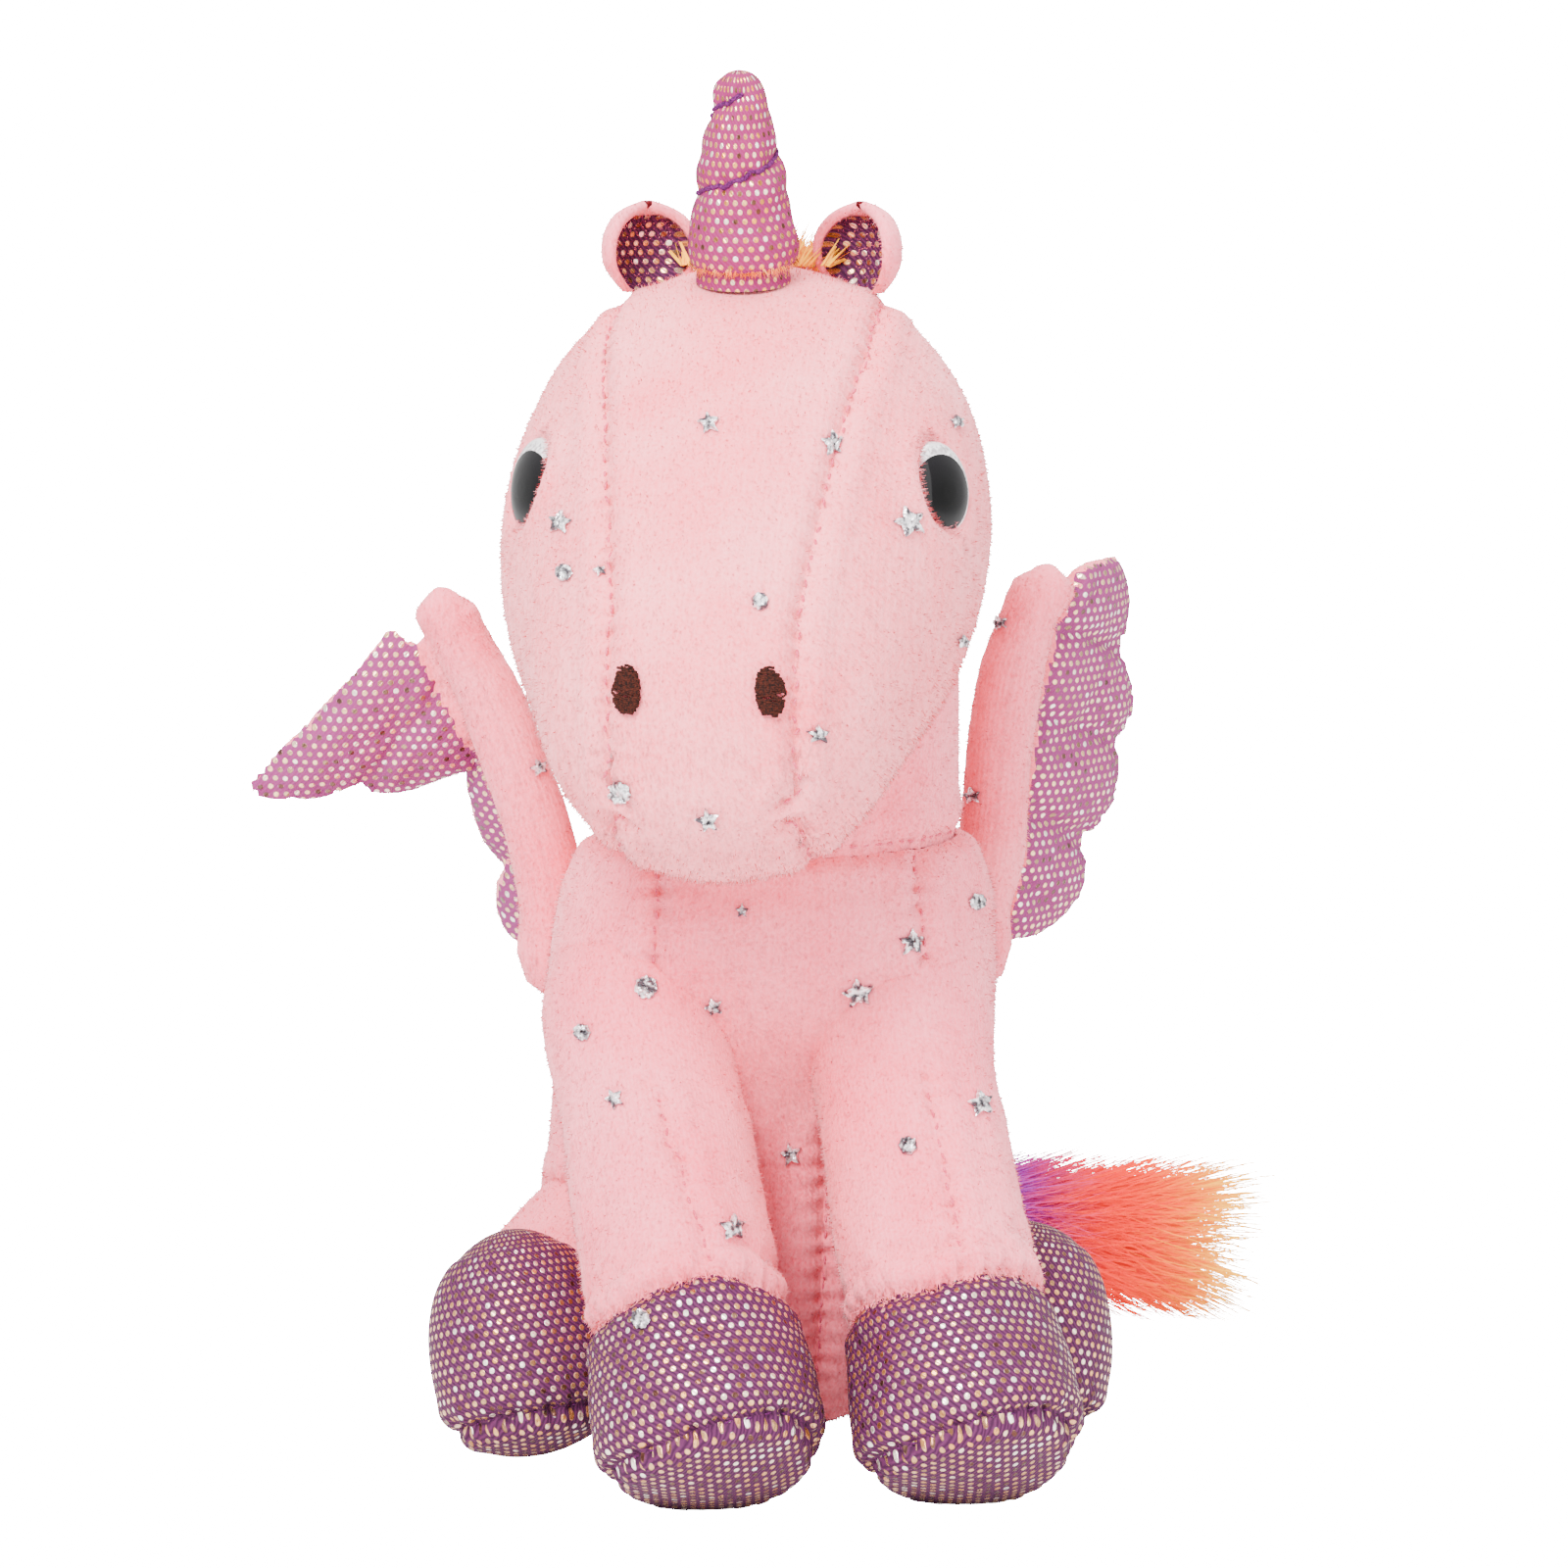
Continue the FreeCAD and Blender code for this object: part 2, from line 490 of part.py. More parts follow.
# ---- legs ----
def build_front_leg(label):
    """A turned leg: two plush panels, a foil-fabric hoof with its sole, and stuffing."""
    side = 1 if label == "left" else -1
    pivot = Vector(side * SHOULDER.x, SHOULDER.y, SHOULDER.z)
    along = (FRONT_FOOT[label] - pivot).normalize()
    shell = turned_shell(FRONT_LEG_PROFILE, FABRIC, pivot, along)
    ankle, sole = pivot + along * FRONT_ANKLE, pivot + along * FRONT_SOLE
    sleeve = shell.cut(beyond(ankle - along * SEAM_GAP, along))
    outward = Vector(side, 0, 0)
    outward = (outward - along * outward.dot(along)).normalize()
    half = outward * (SEAM_GAP / 2)
    export(f"{label}_front_leg_outer_panel", sleeve.common(beyond(pivot + half, outward)))
    export(f"{label}_front_leg_inner_panel", sleeve.common(beyond(pivot - half, outward * -1)))
    foot = shell.common(beyond(ankle, along))
    export(f"{label}_front_hoof_cover", foot.cut(beyond(sole - along * SEAM_GAP, along)))
    export(f"{label}_front_hoof_sole", shell.common(beyond(sole, along)))
    filling = turned(inset_profile(FRONT_LEG_PROFILE, FABRIC + SEAM_GAP), pivot, along)
    export(f"{label}_front_leg_stuffing", filling)
    sweep = limb_sweep(pivot, pivot, pivot + along * FRONT_SWEEP_L, FRONT_LEG_R, Vector(1, 0, 0), LEG_RAISE_DEG)
    return [ball(pivot, FRONT_LEG_R + JOINT_GAP)] + sweep


def thigh(pivot, ankle, inset):
    """A ball at the hip, a straight sleeve and a ball at the ankle."""
    radius = HIND_R - inset
    along = ankle - pivot
    sleeve = Part.makeCylinder(radius, along.Length, pivot, along)
    return sleeve.fuse([ball(pivot, radius), ball(ankle, radius)])


def build_hind_legs():
    """Plush thighs with foil-fabric hooves: the right leg, and its mirror image."""
    middle, sideways = Vector(HIP_SHIFT, 0, 0), Vector(1, 0, 0)
    pivot, ankle, top, low = [Vector(HIP_SHIFT - p.x, p.y, p.z)
                              for p in (HIP, HIND_ANKLE, HIND_HOOF_TOP, HIND_HOOF_LOW)]
    along = (low - top).normalize()
    sole = top + along * HIND_SOLE
    reach = ankle - pivot
    throat_length = reach.Length + HIND_THROAT_PAST_ANKLE
    gap_hoof = turned(inset_profile(HIND_HOOF_PROFILE, -SEAM_GAP), top, along)
    opening = Part.makeCylinder(HIND_THROAT_R + SEAM_GAP, throat_length + SEAM_GAP, pivot, reach)
    shell = turned_shell(HIND_HOOF_PROFILE, FABRIC, top, along).cut(opening)
    hoof_filling = turned(inset_profile(HIND_HOOF_PROFILE, FABRIC + SEAM_GAP), top, along)
    throat = Part.makeCylinder(HIND_THROAT_R, throat_length, pivot, reach)
    thigh_filling = thigh(pivot, ankle, FABRIC + SEAM_GAP).cut(gap_hoof)
    pieces = {
        "hind_leg_cover": thigh(pivot, ankle, 0).cut(thigh(pivot, ankle, FABRIC)).cut(gap_hoof),
        "hind_hoof_cover": shell.cut(beyond(sole - along * SEAM_GAP, along)),
        "hind_hoof_sole": shell.common(beyond(sole, along)),
        "hind_leg_stuffing": thigh_filling.fuse([throat, hoof_filling]),
    }
    for name, shape in pieces.items():
        export(f"right_{name}", shape)
        export(f"left_{name}", shape.mirror(middle, sideways))
    turns = [-angle for angle in HIND_SPLAY_DEG]
    hoof_r = max(r for _, r in HIND_HOOF_PROFILE)
    upright = Vector(0, 0, 1)
    rooms = ([ball(pivot, HIND_R + JOINT_GAP)] + limb_sweep(pivot, pivot, ankle, HIND_R, upright, turns)
             + limb_sweep(pivot, top, low, hoof_r, upright, turns))
    return rooms + [room.mirror(middle, sideways) for room in rooms]


# ---- wings ----
def feather_wire(start, chord, normal, half_mid, low, high):
    """One cross-section of a wing layer, between two shares of the padding's half thickness."""
    def curve(share):
        line = Part.BSplineCurve()
        line.interpolate(Points=[start + chord * t + normal * (half_mid * bulge * share)
                                 for t, bulge in FEATHER_CHORD])
        return line

    top, bottom = curve(high), curve(low)
    return Part.Wire([top.toShape(), Part.makeLine(top.EndPoint, bottom.EndPoint), bottom.toShape(),
                      Part.makeLine(bottom.StartPoint, top.StartPoint)])


def along_path(path, place):
    """A point between the path's numbered points."""
    i = min(int(place), len(path) - 2)
    return path[i] + (path[i + 1] - path[i]) * (place - i)


def fan_lines(band_path, label):
    """(arm point, far point, half thickness) down the wing; a feather's middle is longest and thickest."""
    quilts = [(along_path(band_path, place), Vector(*far)) for place, far in WING_QUILTS[label]]
    lines = []
    for (arm_a, far_a), (arm_b, far_b), lobe in zip(quilts, quilts[1:], FEATHER_LOBES):
        for step in range(FEATHER_STEPS):
            t = step / FEATHER_STEPS
            swell = math.sin(math.pi * t) ** FEATHER_ROUNDNESS
            arm = arm_a + (arm_b - arm_a) * t
            far = far_a + (far_b - far_a) * t
            reach = (far - arm).normalize() * (lobe * swell)
            lines.append((arm, far + reach, WING_NOTCH + (WING_PAD - WING_NOTCH) * swell))
    return lines + [(*quilts[-1], WING_NOTCH)]


def wing_layer(lines, low, high):
    """A padded layer over the whole fan of feathers."""
    wires = []
    for i, (arm, far, half_mid) in enumerate(lines):
        above, below = lines[max(i - 1, 0)], lines[min(i + 1, len(lines) - 1)]
        chord = far - arm
        normal = chord.cross((above[0] + above[1]) - (below[0] + below[1])).normalize()
        if normal.y > 0:
            normal = normal * -1
        clear = chord * ((WING_BAND_R + WING_FOIL_CLEAR) / chord.Length)
        wires.append(feather_wire(arm + clear, chord - clear, normal, half_mid, low, high))
    return Part.makeLoft(wires, True, True)


def build_wing(label):
    """Foil fabric in front, plush behind, padding between, and a stuffed band along the leading edge."""
    side = 1 if label == "left" else -1
    low, high = [Vector(WING_SHIFT + side * p.x, p.y, p.z) for p in WING_ROOT]
    path = [low, (low + high) / 2, high] + [Vector(*point) for point in WING_ARM[label]]
    radii = [WING_BAND_R] * (len(path) - 1) + [WING_BAND_TIP_R]
    export(f"{label}_wing_band", tube(list(zip(path, radii))))
    lines = fan_lines(path, label)
    for name, inner_share, outer_share in WING_LAYERS:
        export(f"{label}_wing_{name}", wing_layer(lines, inner_share, outer_share))
    along = (high - low).normalize()
    slot_length = (high - low).Length + 2 * WING_SLOT_SPARE
    return Part.makeCylinder(WING_BAND_R + WING_SOCKET_GAP, slot_length, low - along * WING_SLOT_SPARE, along)


# ---- tail ----
def build_tail():
    """Fur round a fabric cord that ends short of the tip. The fur lies flat where it rests on the ground."""
    fur = tube(TAIL_PATH)
    core_path = [centre for centre, _ in TAIL_PATH[:-1]]
    core = tube([(centre, TAIL_CORE_R) for centre in core_path])
    core_room = tube([(centre, TAIL_CORE_R + SEAM_GAP) for centre in core_path])
    above_ground = beyond(Vector(0, 0, 0), Vector(0, 0, 1))
    export("tail_fur", fur.cut(core_room).common(above_ground))
    root = ball(TAIL_ROOT, TAIL_BALL_R).cut(fur)
    export("tail_core", core.fuse(root))
    room = TAIL_BALL_R + JOINT_GAP
    return Part.makeCylinder(room, 3 * room, TAIL_ROOT - Vector(0, room, 0), Vector(0, 1, 0))


def main():
    build_head()
    envelope = head_envelope()
    build_neck(envelope)
    sockets = [build_tail()] + build_hind_legs()
    for label in ("left", "right"):
        sockets += build_front_leg(label)
        sockets.append(build_wing(label))
    build_torso(sockets, envelope)


main()
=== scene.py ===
"""Looks of the plush unicorn: sewn skins, foil-dot fabric, fur, glossy eyes and a plain studio.

Lengths are millimetres in the CAD model's own frame until a mesh is made; MM turns them into metres.
Each piece rides the CAD body of the part it stands for.
"""
import json
import math

import bmesh
import bpy
import numpy as np
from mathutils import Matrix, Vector
from mathutils.bvhtree import BVHTree
from mathutils.kdtree import KDTree


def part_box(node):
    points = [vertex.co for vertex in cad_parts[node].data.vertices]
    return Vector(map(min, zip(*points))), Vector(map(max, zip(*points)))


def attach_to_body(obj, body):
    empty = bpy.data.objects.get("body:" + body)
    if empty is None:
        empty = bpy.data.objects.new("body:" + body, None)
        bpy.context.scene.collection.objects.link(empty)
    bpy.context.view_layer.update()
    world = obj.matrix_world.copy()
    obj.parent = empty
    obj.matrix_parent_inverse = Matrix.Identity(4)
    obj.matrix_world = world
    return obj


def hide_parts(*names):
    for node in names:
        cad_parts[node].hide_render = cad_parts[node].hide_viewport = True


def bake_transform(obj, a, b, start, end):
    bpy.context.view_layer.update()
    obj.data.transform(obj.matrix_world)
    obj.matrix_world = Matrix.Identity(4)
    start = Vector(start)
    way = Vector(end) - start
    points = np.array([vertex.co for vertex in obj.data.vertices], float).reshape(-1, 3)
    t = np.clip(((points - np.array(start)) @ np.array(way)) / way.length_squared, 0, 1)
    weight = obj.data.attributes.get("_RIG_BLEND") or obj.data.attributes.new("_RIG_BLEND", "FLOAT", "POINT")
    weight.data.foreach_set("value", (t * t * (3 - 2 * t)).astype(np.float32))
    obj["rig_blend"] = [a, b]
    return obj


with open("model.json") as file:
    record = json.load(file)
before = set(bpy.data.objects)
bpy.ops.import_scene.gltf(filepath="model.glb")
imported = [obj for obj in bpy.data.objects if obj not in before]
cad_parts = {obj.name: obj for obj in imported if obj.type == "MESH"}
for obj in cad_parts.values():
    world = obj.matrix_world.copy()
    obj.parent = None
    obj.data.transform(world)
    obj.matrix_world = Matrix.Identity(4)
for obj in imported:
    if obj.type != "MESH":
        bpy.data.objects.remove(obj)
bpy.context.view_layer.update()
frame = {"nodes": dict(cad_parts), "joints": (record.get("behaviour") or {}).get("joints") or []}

MM = 0.001
RNG = np.random.default_rng(7)
SIDES = (("left", 1), ("right", -1))

# ---- places taken from the frame, in millimetres ----
JOINTS = {j["name"]: j for j in frame["joints"]}


def joint_place(name):
    return np.array(JOINTS[name]["pos_m"]) / MM


def node_points(name):
    return np.array([v.co for v in frame["nodes"][name].data.vertices]) / MM


def node_box(name):
    low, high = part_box(name)
    return np.array(low) / MM, np.array(high) / MM


def node_centre(name):
    low, high = node_box(name)
    return (low + high) / 2


def unit(v):
    v = np.asarray(v, float)
    return v / np.linalg.norm(v, axis=-1, keepdims=True)


UP = np.array([0.0, 0.0, 1.0])
SKULL = joint_place("head_nod")
SIDEWAYS = unit(JOINTS["head_nod"]["axis"])
FORWARD = np.cross(SIDEWAYS, UP)
MUZZLE_DROP = math.radians(35.8)
MUZZLE_AXIS = FORWARD * math.cos(MUZZLE_DROP) - UP * math.sin(MUZZLE_DROP)
BROW_UP = np.cross(SIDEWAYS, MUZZLE_AXIS) * -1

# the camera looks from a little to the toy's right and above it
VIEW_AZIMUTH, VIEW_ELEVATION = math.radians(-5), math.radians(8)
VIEW_FROM = np.array([math.sin(VIEW_AZIMUTH) * math.cos(VIEW_ELEVATION),
                      -math.cos(VIEW_AZIMUTH) * math.cos(VIEW_ELEVATION), math.sin(VIEW_ELEVATION)])
VIEW_ACROSS = unit(np.cross(-VIEW_FROM, UP))
VIEW_RISE = np.cross(VIEW_ACROSS, -VIEW_FROM)

# ---- sizes ----
# profiles are (distance along the axis, radius)
HEAD_PROFILE = ((-49, 0.2), (-45.3, 18.7), (-34.6, 34.6), (-18.7, 45.3), (0, 49), (14, 49.3), (27, 48),
                (40, 45.2), (52, 41.2), (62, 37.6), (72, 34), (81, 28.6), (88.5, 20.8), (93.6, 12),
                (96, 5.6), (96.6, 0.2))
FACE_HALF_TOP, FACE_HALF_NOSE, FACE_NOSE_AT = 27.0, 18.5, 66
# rings are (height, centre x, centre y, half width, half depth)
TORSO_RINGS = ((0.3, 2, 26, 30, 29), (5, 2, 26.5, 41, 38), (18, 2.5, 25, 46, 43), (40, 3.5, 22, 47.5, 44),
               (60, 4, 17, 47, 39), (75, 4.2, 11, 46.5, 36), (95, 4.2, 3, 46.5, 38),
               (112, 4.2, -3, 45.5, 38), (122, 4.2, -5, 42.5, 34.5), (127.3, 4.2, -6, 37.5, 30.5))
CHEST_HALF, BELLY_HALF = 27.0, 9.0
NECK_RINGS = ((126.6, 4.2, -6, 36.6, 30.3), (131, 4.2, -6, 37.6, 31.2), (150, 4.2, -5, 37.8, 31.8),
              (172, 4.0, -4, 37.4, 31.4), (186, 4.0, -4, 33, 28))
NECK_ROWS, COLLAR_ROW = 60, 2
NECK_TWIST_H = 26.0                        # height over which the neck's skin takes up its turn
LEG_R = 19.0
LEG_PROFILE = ((-16, 0.3), (-14.6, 6.5), (-10.5, 12.6), (-4, 17.2), (6, LEG_R), (20, 18.7), (44, 18.8),
               (62, 19.4), (69, 18.9), (75, 20.8), (84, 22.2), (92, 22.3), (97, 21.2), (99, 20.2),
               (101.5, 18.2), (104.2, 12.6), (105.6, 6.6), (106, 0.2))
LEG_ANKLE, LEG_SOLE = 69.0, 99.0
LEG_BEND = (2, 34)                         # stretch of a front leg that bends with its swing
LEG_SEAM_ROW = 28                          # first row of the front seam that shows below the torso
FRONT_SEAM_SHIFT = {"left": (4, 4), "right": (0.5, 6)}   # how far to its left each leg's front seam runs
HIND_AXIS = np.array([-0.1505, -0.3225, -0.9350])        # the way the left hind hoof points
HIND_PROFILE = ((-3, 0.2), (-2, 5.2), (0.8, 10.3), (6.5, 15.4), (14, 18.4), (22, 19.6), (29.5, 19.2),
                (36, 16.6), (40, 12.6), (42.7, 7), (43.7, 0.2))
HIND_SOLE = 36.5
THIGH_R, THIGH_BEND, THIGH_ROWS = 17.0, 16, 40
LIMB_COLUMNS = 72
EAR_WIDTHS = ((0, 0.5), (0.15, 0.78), (0.35, 1.0), (0.6, 1.0), (0.8, 0.8), (0.92, 0.5), (1, 0.1))
EAR_HALF_W, EAR_BOTTOM, EAR_LEAN, EAR_DEPTH, EAR_THICK = 10.6, 1.5, 1.8, 0.75, 1.8
EAR_WRAP = math.radians(100)
HORN_LEAN = math.radians(10)
HORN_PROFILE = ((0, 9.4), (1.5, 10.6), (6, 10.9), (12, 9.4), (20, 8.4), (28, 6.6), (34, 5.2),
                (37.2, 4.0), (38.9, 2.2), (39.4, 0.2))
THREAD_PITCH, THREAD_START, THREAD_TURNS = 16.0, 8.0, 1.75
WING_BAND_WIDTH, WING_SEAM_THICK = 8.5, 3.2
CROWN_R, CROWN_FRONT, CROWN_BACK = 48.5, 0.05, 2.3       # angles from straight up, towards the back
MANE_THICK = 9.0
TAIL_RADII = ((0, 5), (0.25, 14), (0.5, 19), (0.8, 20), (1, 19))
TAIL_COLOUR_FROM, TAIL_COLOUR_SPAN = 0.44, 0.44         # shares of its length
DOT_PITCH, DOT_R = 2.15, 0.56
RIB_PITCH = 1.2
PILE_LENGTH, PILE_WIDTH, PILE_AREA = 1.25, 0.34, 0.55


# ---- curves and meshes ----
def travelled(points):
    """How far along a line each of its points lies."""
    return np.concatenate([[0], np.cumsum(np.linalg.norm(np.diff(points, axis=0), axis=1))])


def line_length(points):
    return np.linalg.norm(np.diff(points, axis=0), axis=1).sum()


def interp_rows(at, stops, rows):
    """Rows of numbers read off at places between the stops."""
    return np.stack([np.interp(at, stops, rows[:, k]) for k in range(rows.shape[1])], axis=-1)


def curve_through(points, count):
    """A smooth curve through the points, resampled evenly by arc length."""
    p = np.asarray(points, float)
    ends = np.vstack([2 * p[0] - p[1], p, 2 * p[-1] - p[-2]])
    fine = []
    for a, b, c, d in zip(ends, ends[1:], ends[2:], ends[3:]):
        t = np.linspace(0, 1, 24, endpoint=False)[:, None]
        fine.append(0.5 * (2 * b + (c - a) * t + (2 * a - 5 * b + 4 * c - d) * t ** 2
                           + (3 * b - a - 3 * c + d) * t ** 3))
    fine = np.vstack(fine + [p[-1:]])
    travel = travelled(fine)
    return interp_rows(np.linspace(0, travel[-1], count), travel, fine)


def full_turn(count):
    """Evenly spaced angles once round, without the last one."""
    return np.linspace(0, 2 * math.pi, count, endpoint=False)


def spokes(a, b, angle):
    """Directions at some angles round an axis, from two directions across it."""
    return a * np.cos(angle)[..., None] + b * np.sin(angle)[..., None]


def kd_tree(points):
    tree = KDTree(len(points))
    for i, p in enumerate(points):
        tree.insert(Vector(p), i)
    tree.balance()
    return tree


def join_parts(parts):
    """Stacks (points, faces) pairs into one set of points and one of faces."""
    starts = np.cumsum([0] + [len(points) for points, _ in parts[:-1]])
    faces = [quads + start for (_, quads), start in zip(parts, starts)]
    return np.vstack([points for points, _ in parts]), np.vstack(faces)


def add_mesh(name, verts, faces, material, smooth=True):
    mesh = bpy.data.meshes.new(name)
    mesh.from_pydata((np.asarray(verts) * MM).tolist(), [], [tuple(int(i) for i in f) for f in faces])
    mesh.polygons.foreach_set("use_smooth", [smooth] * len(mesh.polygons))
    mesh.materials.append(material)
    obj = bpy.data.objects.new(name, mesh)
    bpy.context.scene.collection.objects.link(obj)
    return obj


def grid_faces(rows, columns, wrap):
    """Quads of a rows x columns grid of vertices; wrap joins the last column to the first."""
    index = np.arange(rows * columns).reshape(rows, columns)
    after = np.roll(index, -1, axis=1)
    last = columns if wrap else columns - 1
    quads = np.stack([index[:-1, :last], after[:-1, :last], after[1:, :last], index[1:, :last]], axis=-1)
    return quads.reshape(-1, 4)


def mesh_points(obj):
    co = np.zeros(len(obj.data.vertices) * 3, np.float32)
    obj.data.vertices.foreach_get("co", co)
    return co.reshape(-1, 3).astype(float) / MM


def mesh_normals(obj):
    normal = np.zeros(len(obj.data.vertices) * 3, np.float32)
    obj.data.vertices.foreach_get("normal", normal)
    return normal.reshape(-1, 3).astype(float)


def set_points(obj, points):
    obj.data.vertices.foreach_set("co", (np.asarray(points) * MM).astype(np.float32).ravel())
    obj.data.update()


def set_attribute(obj, name, values):
    layer = obj.data.attributes.get(name) or obj.data.attributes.new(name, "FLOAT", "POINT")
    layer.data.foreach_set("value", np.asarray(values, np.float32))


def set_plane(obj, points_2d):
    """Stores where each vertex lies on the flat cloth, in millimetres, for the dot pattern."""
    layer = obj.data.attributes.get("cloth") or obj.data.attributes.new("cloth", "FLOAT_VECTOR", "POINT")
    flat = np.column_stack([points_2d, np.zeros(len(points_2d))])
    layer.data.foreach_set("vector", flat.astype(np.float32).ravel())


def surface(*objects):
    """A search tree over the outside of some meshes, in millimetres."""
    verts, faces = [], []
    for obj in objects:
        start = len(verts)
        verts += [Vector(p) for p in mesh_points(obj)]
        faces += [tuple(start + i for i in f.vertices) for f in obj.data.polygons]
    return BVHTree.FromPolygons(verts, faces)


def attach(obj, follow):
    """follow is a body's name, or the two bodies and two places between which the piece bends."""
    if isinstance(follow, str):
        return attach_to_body(obj, follow)
    first, second, start, end = follow
    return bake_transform(obj, first, second, start=tuple(start * MM), end=tuple(end * MM))


def stand_for(obj, slot_name, follow, *nodes):
    """Hides the CAD nodes that a piece shows and ties the piece to what it follows; its material slot name
    is not used.
    """
    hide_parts(*nodes)
    return attach(obj, follow)


def take_faces(obj, name, keep):
    """A new piece made of some of a mesh's faces, with its own vertices and the mesh's attributes."""
    faces = [tuple(obj.data.polygons[i].vertices) for i in np.flatnonzero(keep)]
    used = sorted({v for f in faces for v in f})
    renumber = {v: i for i, v in enumerate(used)}
    renumbered = [[renumber[v] for v in f] for f in faces]
    piece = add_mesh(name, mesh_points(obj)[used], renumbered, obj.data.materials[0])
    for layer in obj.data.attributes:
        if layer.name in ("rib", "part"):
            values = np.zeros(len(obj.data.vertices), np.float32)
            layer.data.foreach_get("value", values)
            set_attribute(piece, layer.name, values[used])
        if layer.name == "cloth":
            values = np.zeros(len(obj.data.vertices) * 3, np.float32)
            layer.data.foreach_get("vector", values)
            set_plane(piece, values.reshape(-1, 3)[used][:, :2])
    return piece


def discard(obj):
    bpy.data.meshes.remove(obj.data)


def lumps(points, scale, seed):
    """Smooth unevenness, -1 to 1, as stuffing gives a skin; scale is the size of a lump."""
    rng = np.random.default_rng(seed)
    total = np.zeros(len(points))
    waves = 6
    for _ in range(waves):
        direction = unit(rng.normal(size=3)) * (2 * math.pi / (scale * rng.uniform(0.8, 1.6)))
        total += np.sin(points @ direction + rng.uniform(0, 2 * math.pi))
    return total / waves


def push(obj, amounts):
    set_points(obj, mesh_points(obj) + mesh_normals(obj) * np.asarray(amounts)[:, None])


# ---- materials ----
def linear(red, green, blue):
    """A colour given as 0-255 screen values."""
    c = np.array([red, green, blue]) / 255
    c = np.where(c <= 0.04045, c / 12.92, ((c + 0.055) / 1.055) ** 2.4)
    return (*c, 1.0)


class Shader:
    """A node material; each method adds a node and returns its output."""

    def __init__(self, name, **values):
        self.material = bpy.data.materials.new(name)
        self.material.use_nodes = True
        self.nodes = self.material.node_tree.nodes
        self.links = self.material.node_tree.links
        self.surface = self.nodes["Principled BSDF"]
        for key, value in values.items():
            self.surface.inputs[key.replace("_", " ")].default_value = value

    def node(self, kind, output=0, settings=(), **inputs):
        node = self.nodes.new(kind)
        for key, value in settings:
            setattr(node, key, value)
        for key, value in inputs.items():
            slot = node.inputs[int(key[1:])] if key[0] == "i" and key[1:].isdigit() else node.inputs[key]
            if isinstance(value, bpy.types.NodeSocket):
                self.links.new(value, slot)
            else:
                slot.default_value = value
        return node.outputs[output]

    def math(self, operation, a, b=0.0):
        return self.node("ShaderNodeMath", settings=[("operation", operation)], i0=a, i1=b)

    def vector(self, operation, a, b=(0, 0, 0), output=0):
        return self.node("ShaderNodeVectorMath", output, [("operation", operation)], i0=a, i1=b)

    def attribute(self, name, output=2):
        return self.node("ShaderNodeAttribute", output, [("attribute_name", name)])

    def place(self):
        return self.node("ShaderNodeTexCoord", 3)

    def noise(self, scale, detail=2.0, vector=None):
        return self.node("ShaderNodeTexNoise", Vector=vector or self.place(), Scale=scale, Detail=detail)

    def mix(self, factor, a, b):
        return self.node("ShaderNodeMix", 2, [("data_type", "RGBA")], i0=factor, i6=a, i7=b)

    def range(self, value, low, high, to_low, to_high):
        return self.node("ShaderNodeMapRange", i0=value, i1=low, i2=high, i3=to_low, i4=to_high)

    def bump(self, height, strength, distance):
        normal = self.node("ShaderNodeBump", Height=height, Strength=strength, Distance=distance)
        self.links.new(normal, self.surface.inputs["Normal"])

    def feed(self, name, value):
        self.links.new(value, self.surface.inputs[name])
        return self


def plush(name, dark, light):
    """Short ribbed pile: brushed patches, a fine grain and the knit's ribs."""
    s = Shader(name, Roughness=0.95, Sheen_Weight=0.25, Sheen_Roughness=0.5)
    s.surface.inputs["Sheen Tint"].default_value = (1.0, 0.86, 0.86, 1.0)
    rib = s.math("SINE", s.math("MULTIPLY", s.attribute("rib"), 2 * math.pi / RIB_PITCH))
    patches, grain = s.noise(45, 3), s.noise(1500, 2)
    shade = s.math("ADD", s.math("MULTIPLY", rib, 0.05), s.range(patches, 0.3, 0.7, 0.3, 0.8))
    shade = s.math("ADD", shade, s.range(grain, 0.3, 0.7, -0.22, 0.22))
    s.feed("Base Color", s.mix(s.node("ShaderNodeClamp", Value=shade), dark, light))
    s.bump(s.math("ADD", s.math("MULTIPLY", rib, 0.15), grain), 0.35, 0.0006)
    return s.material


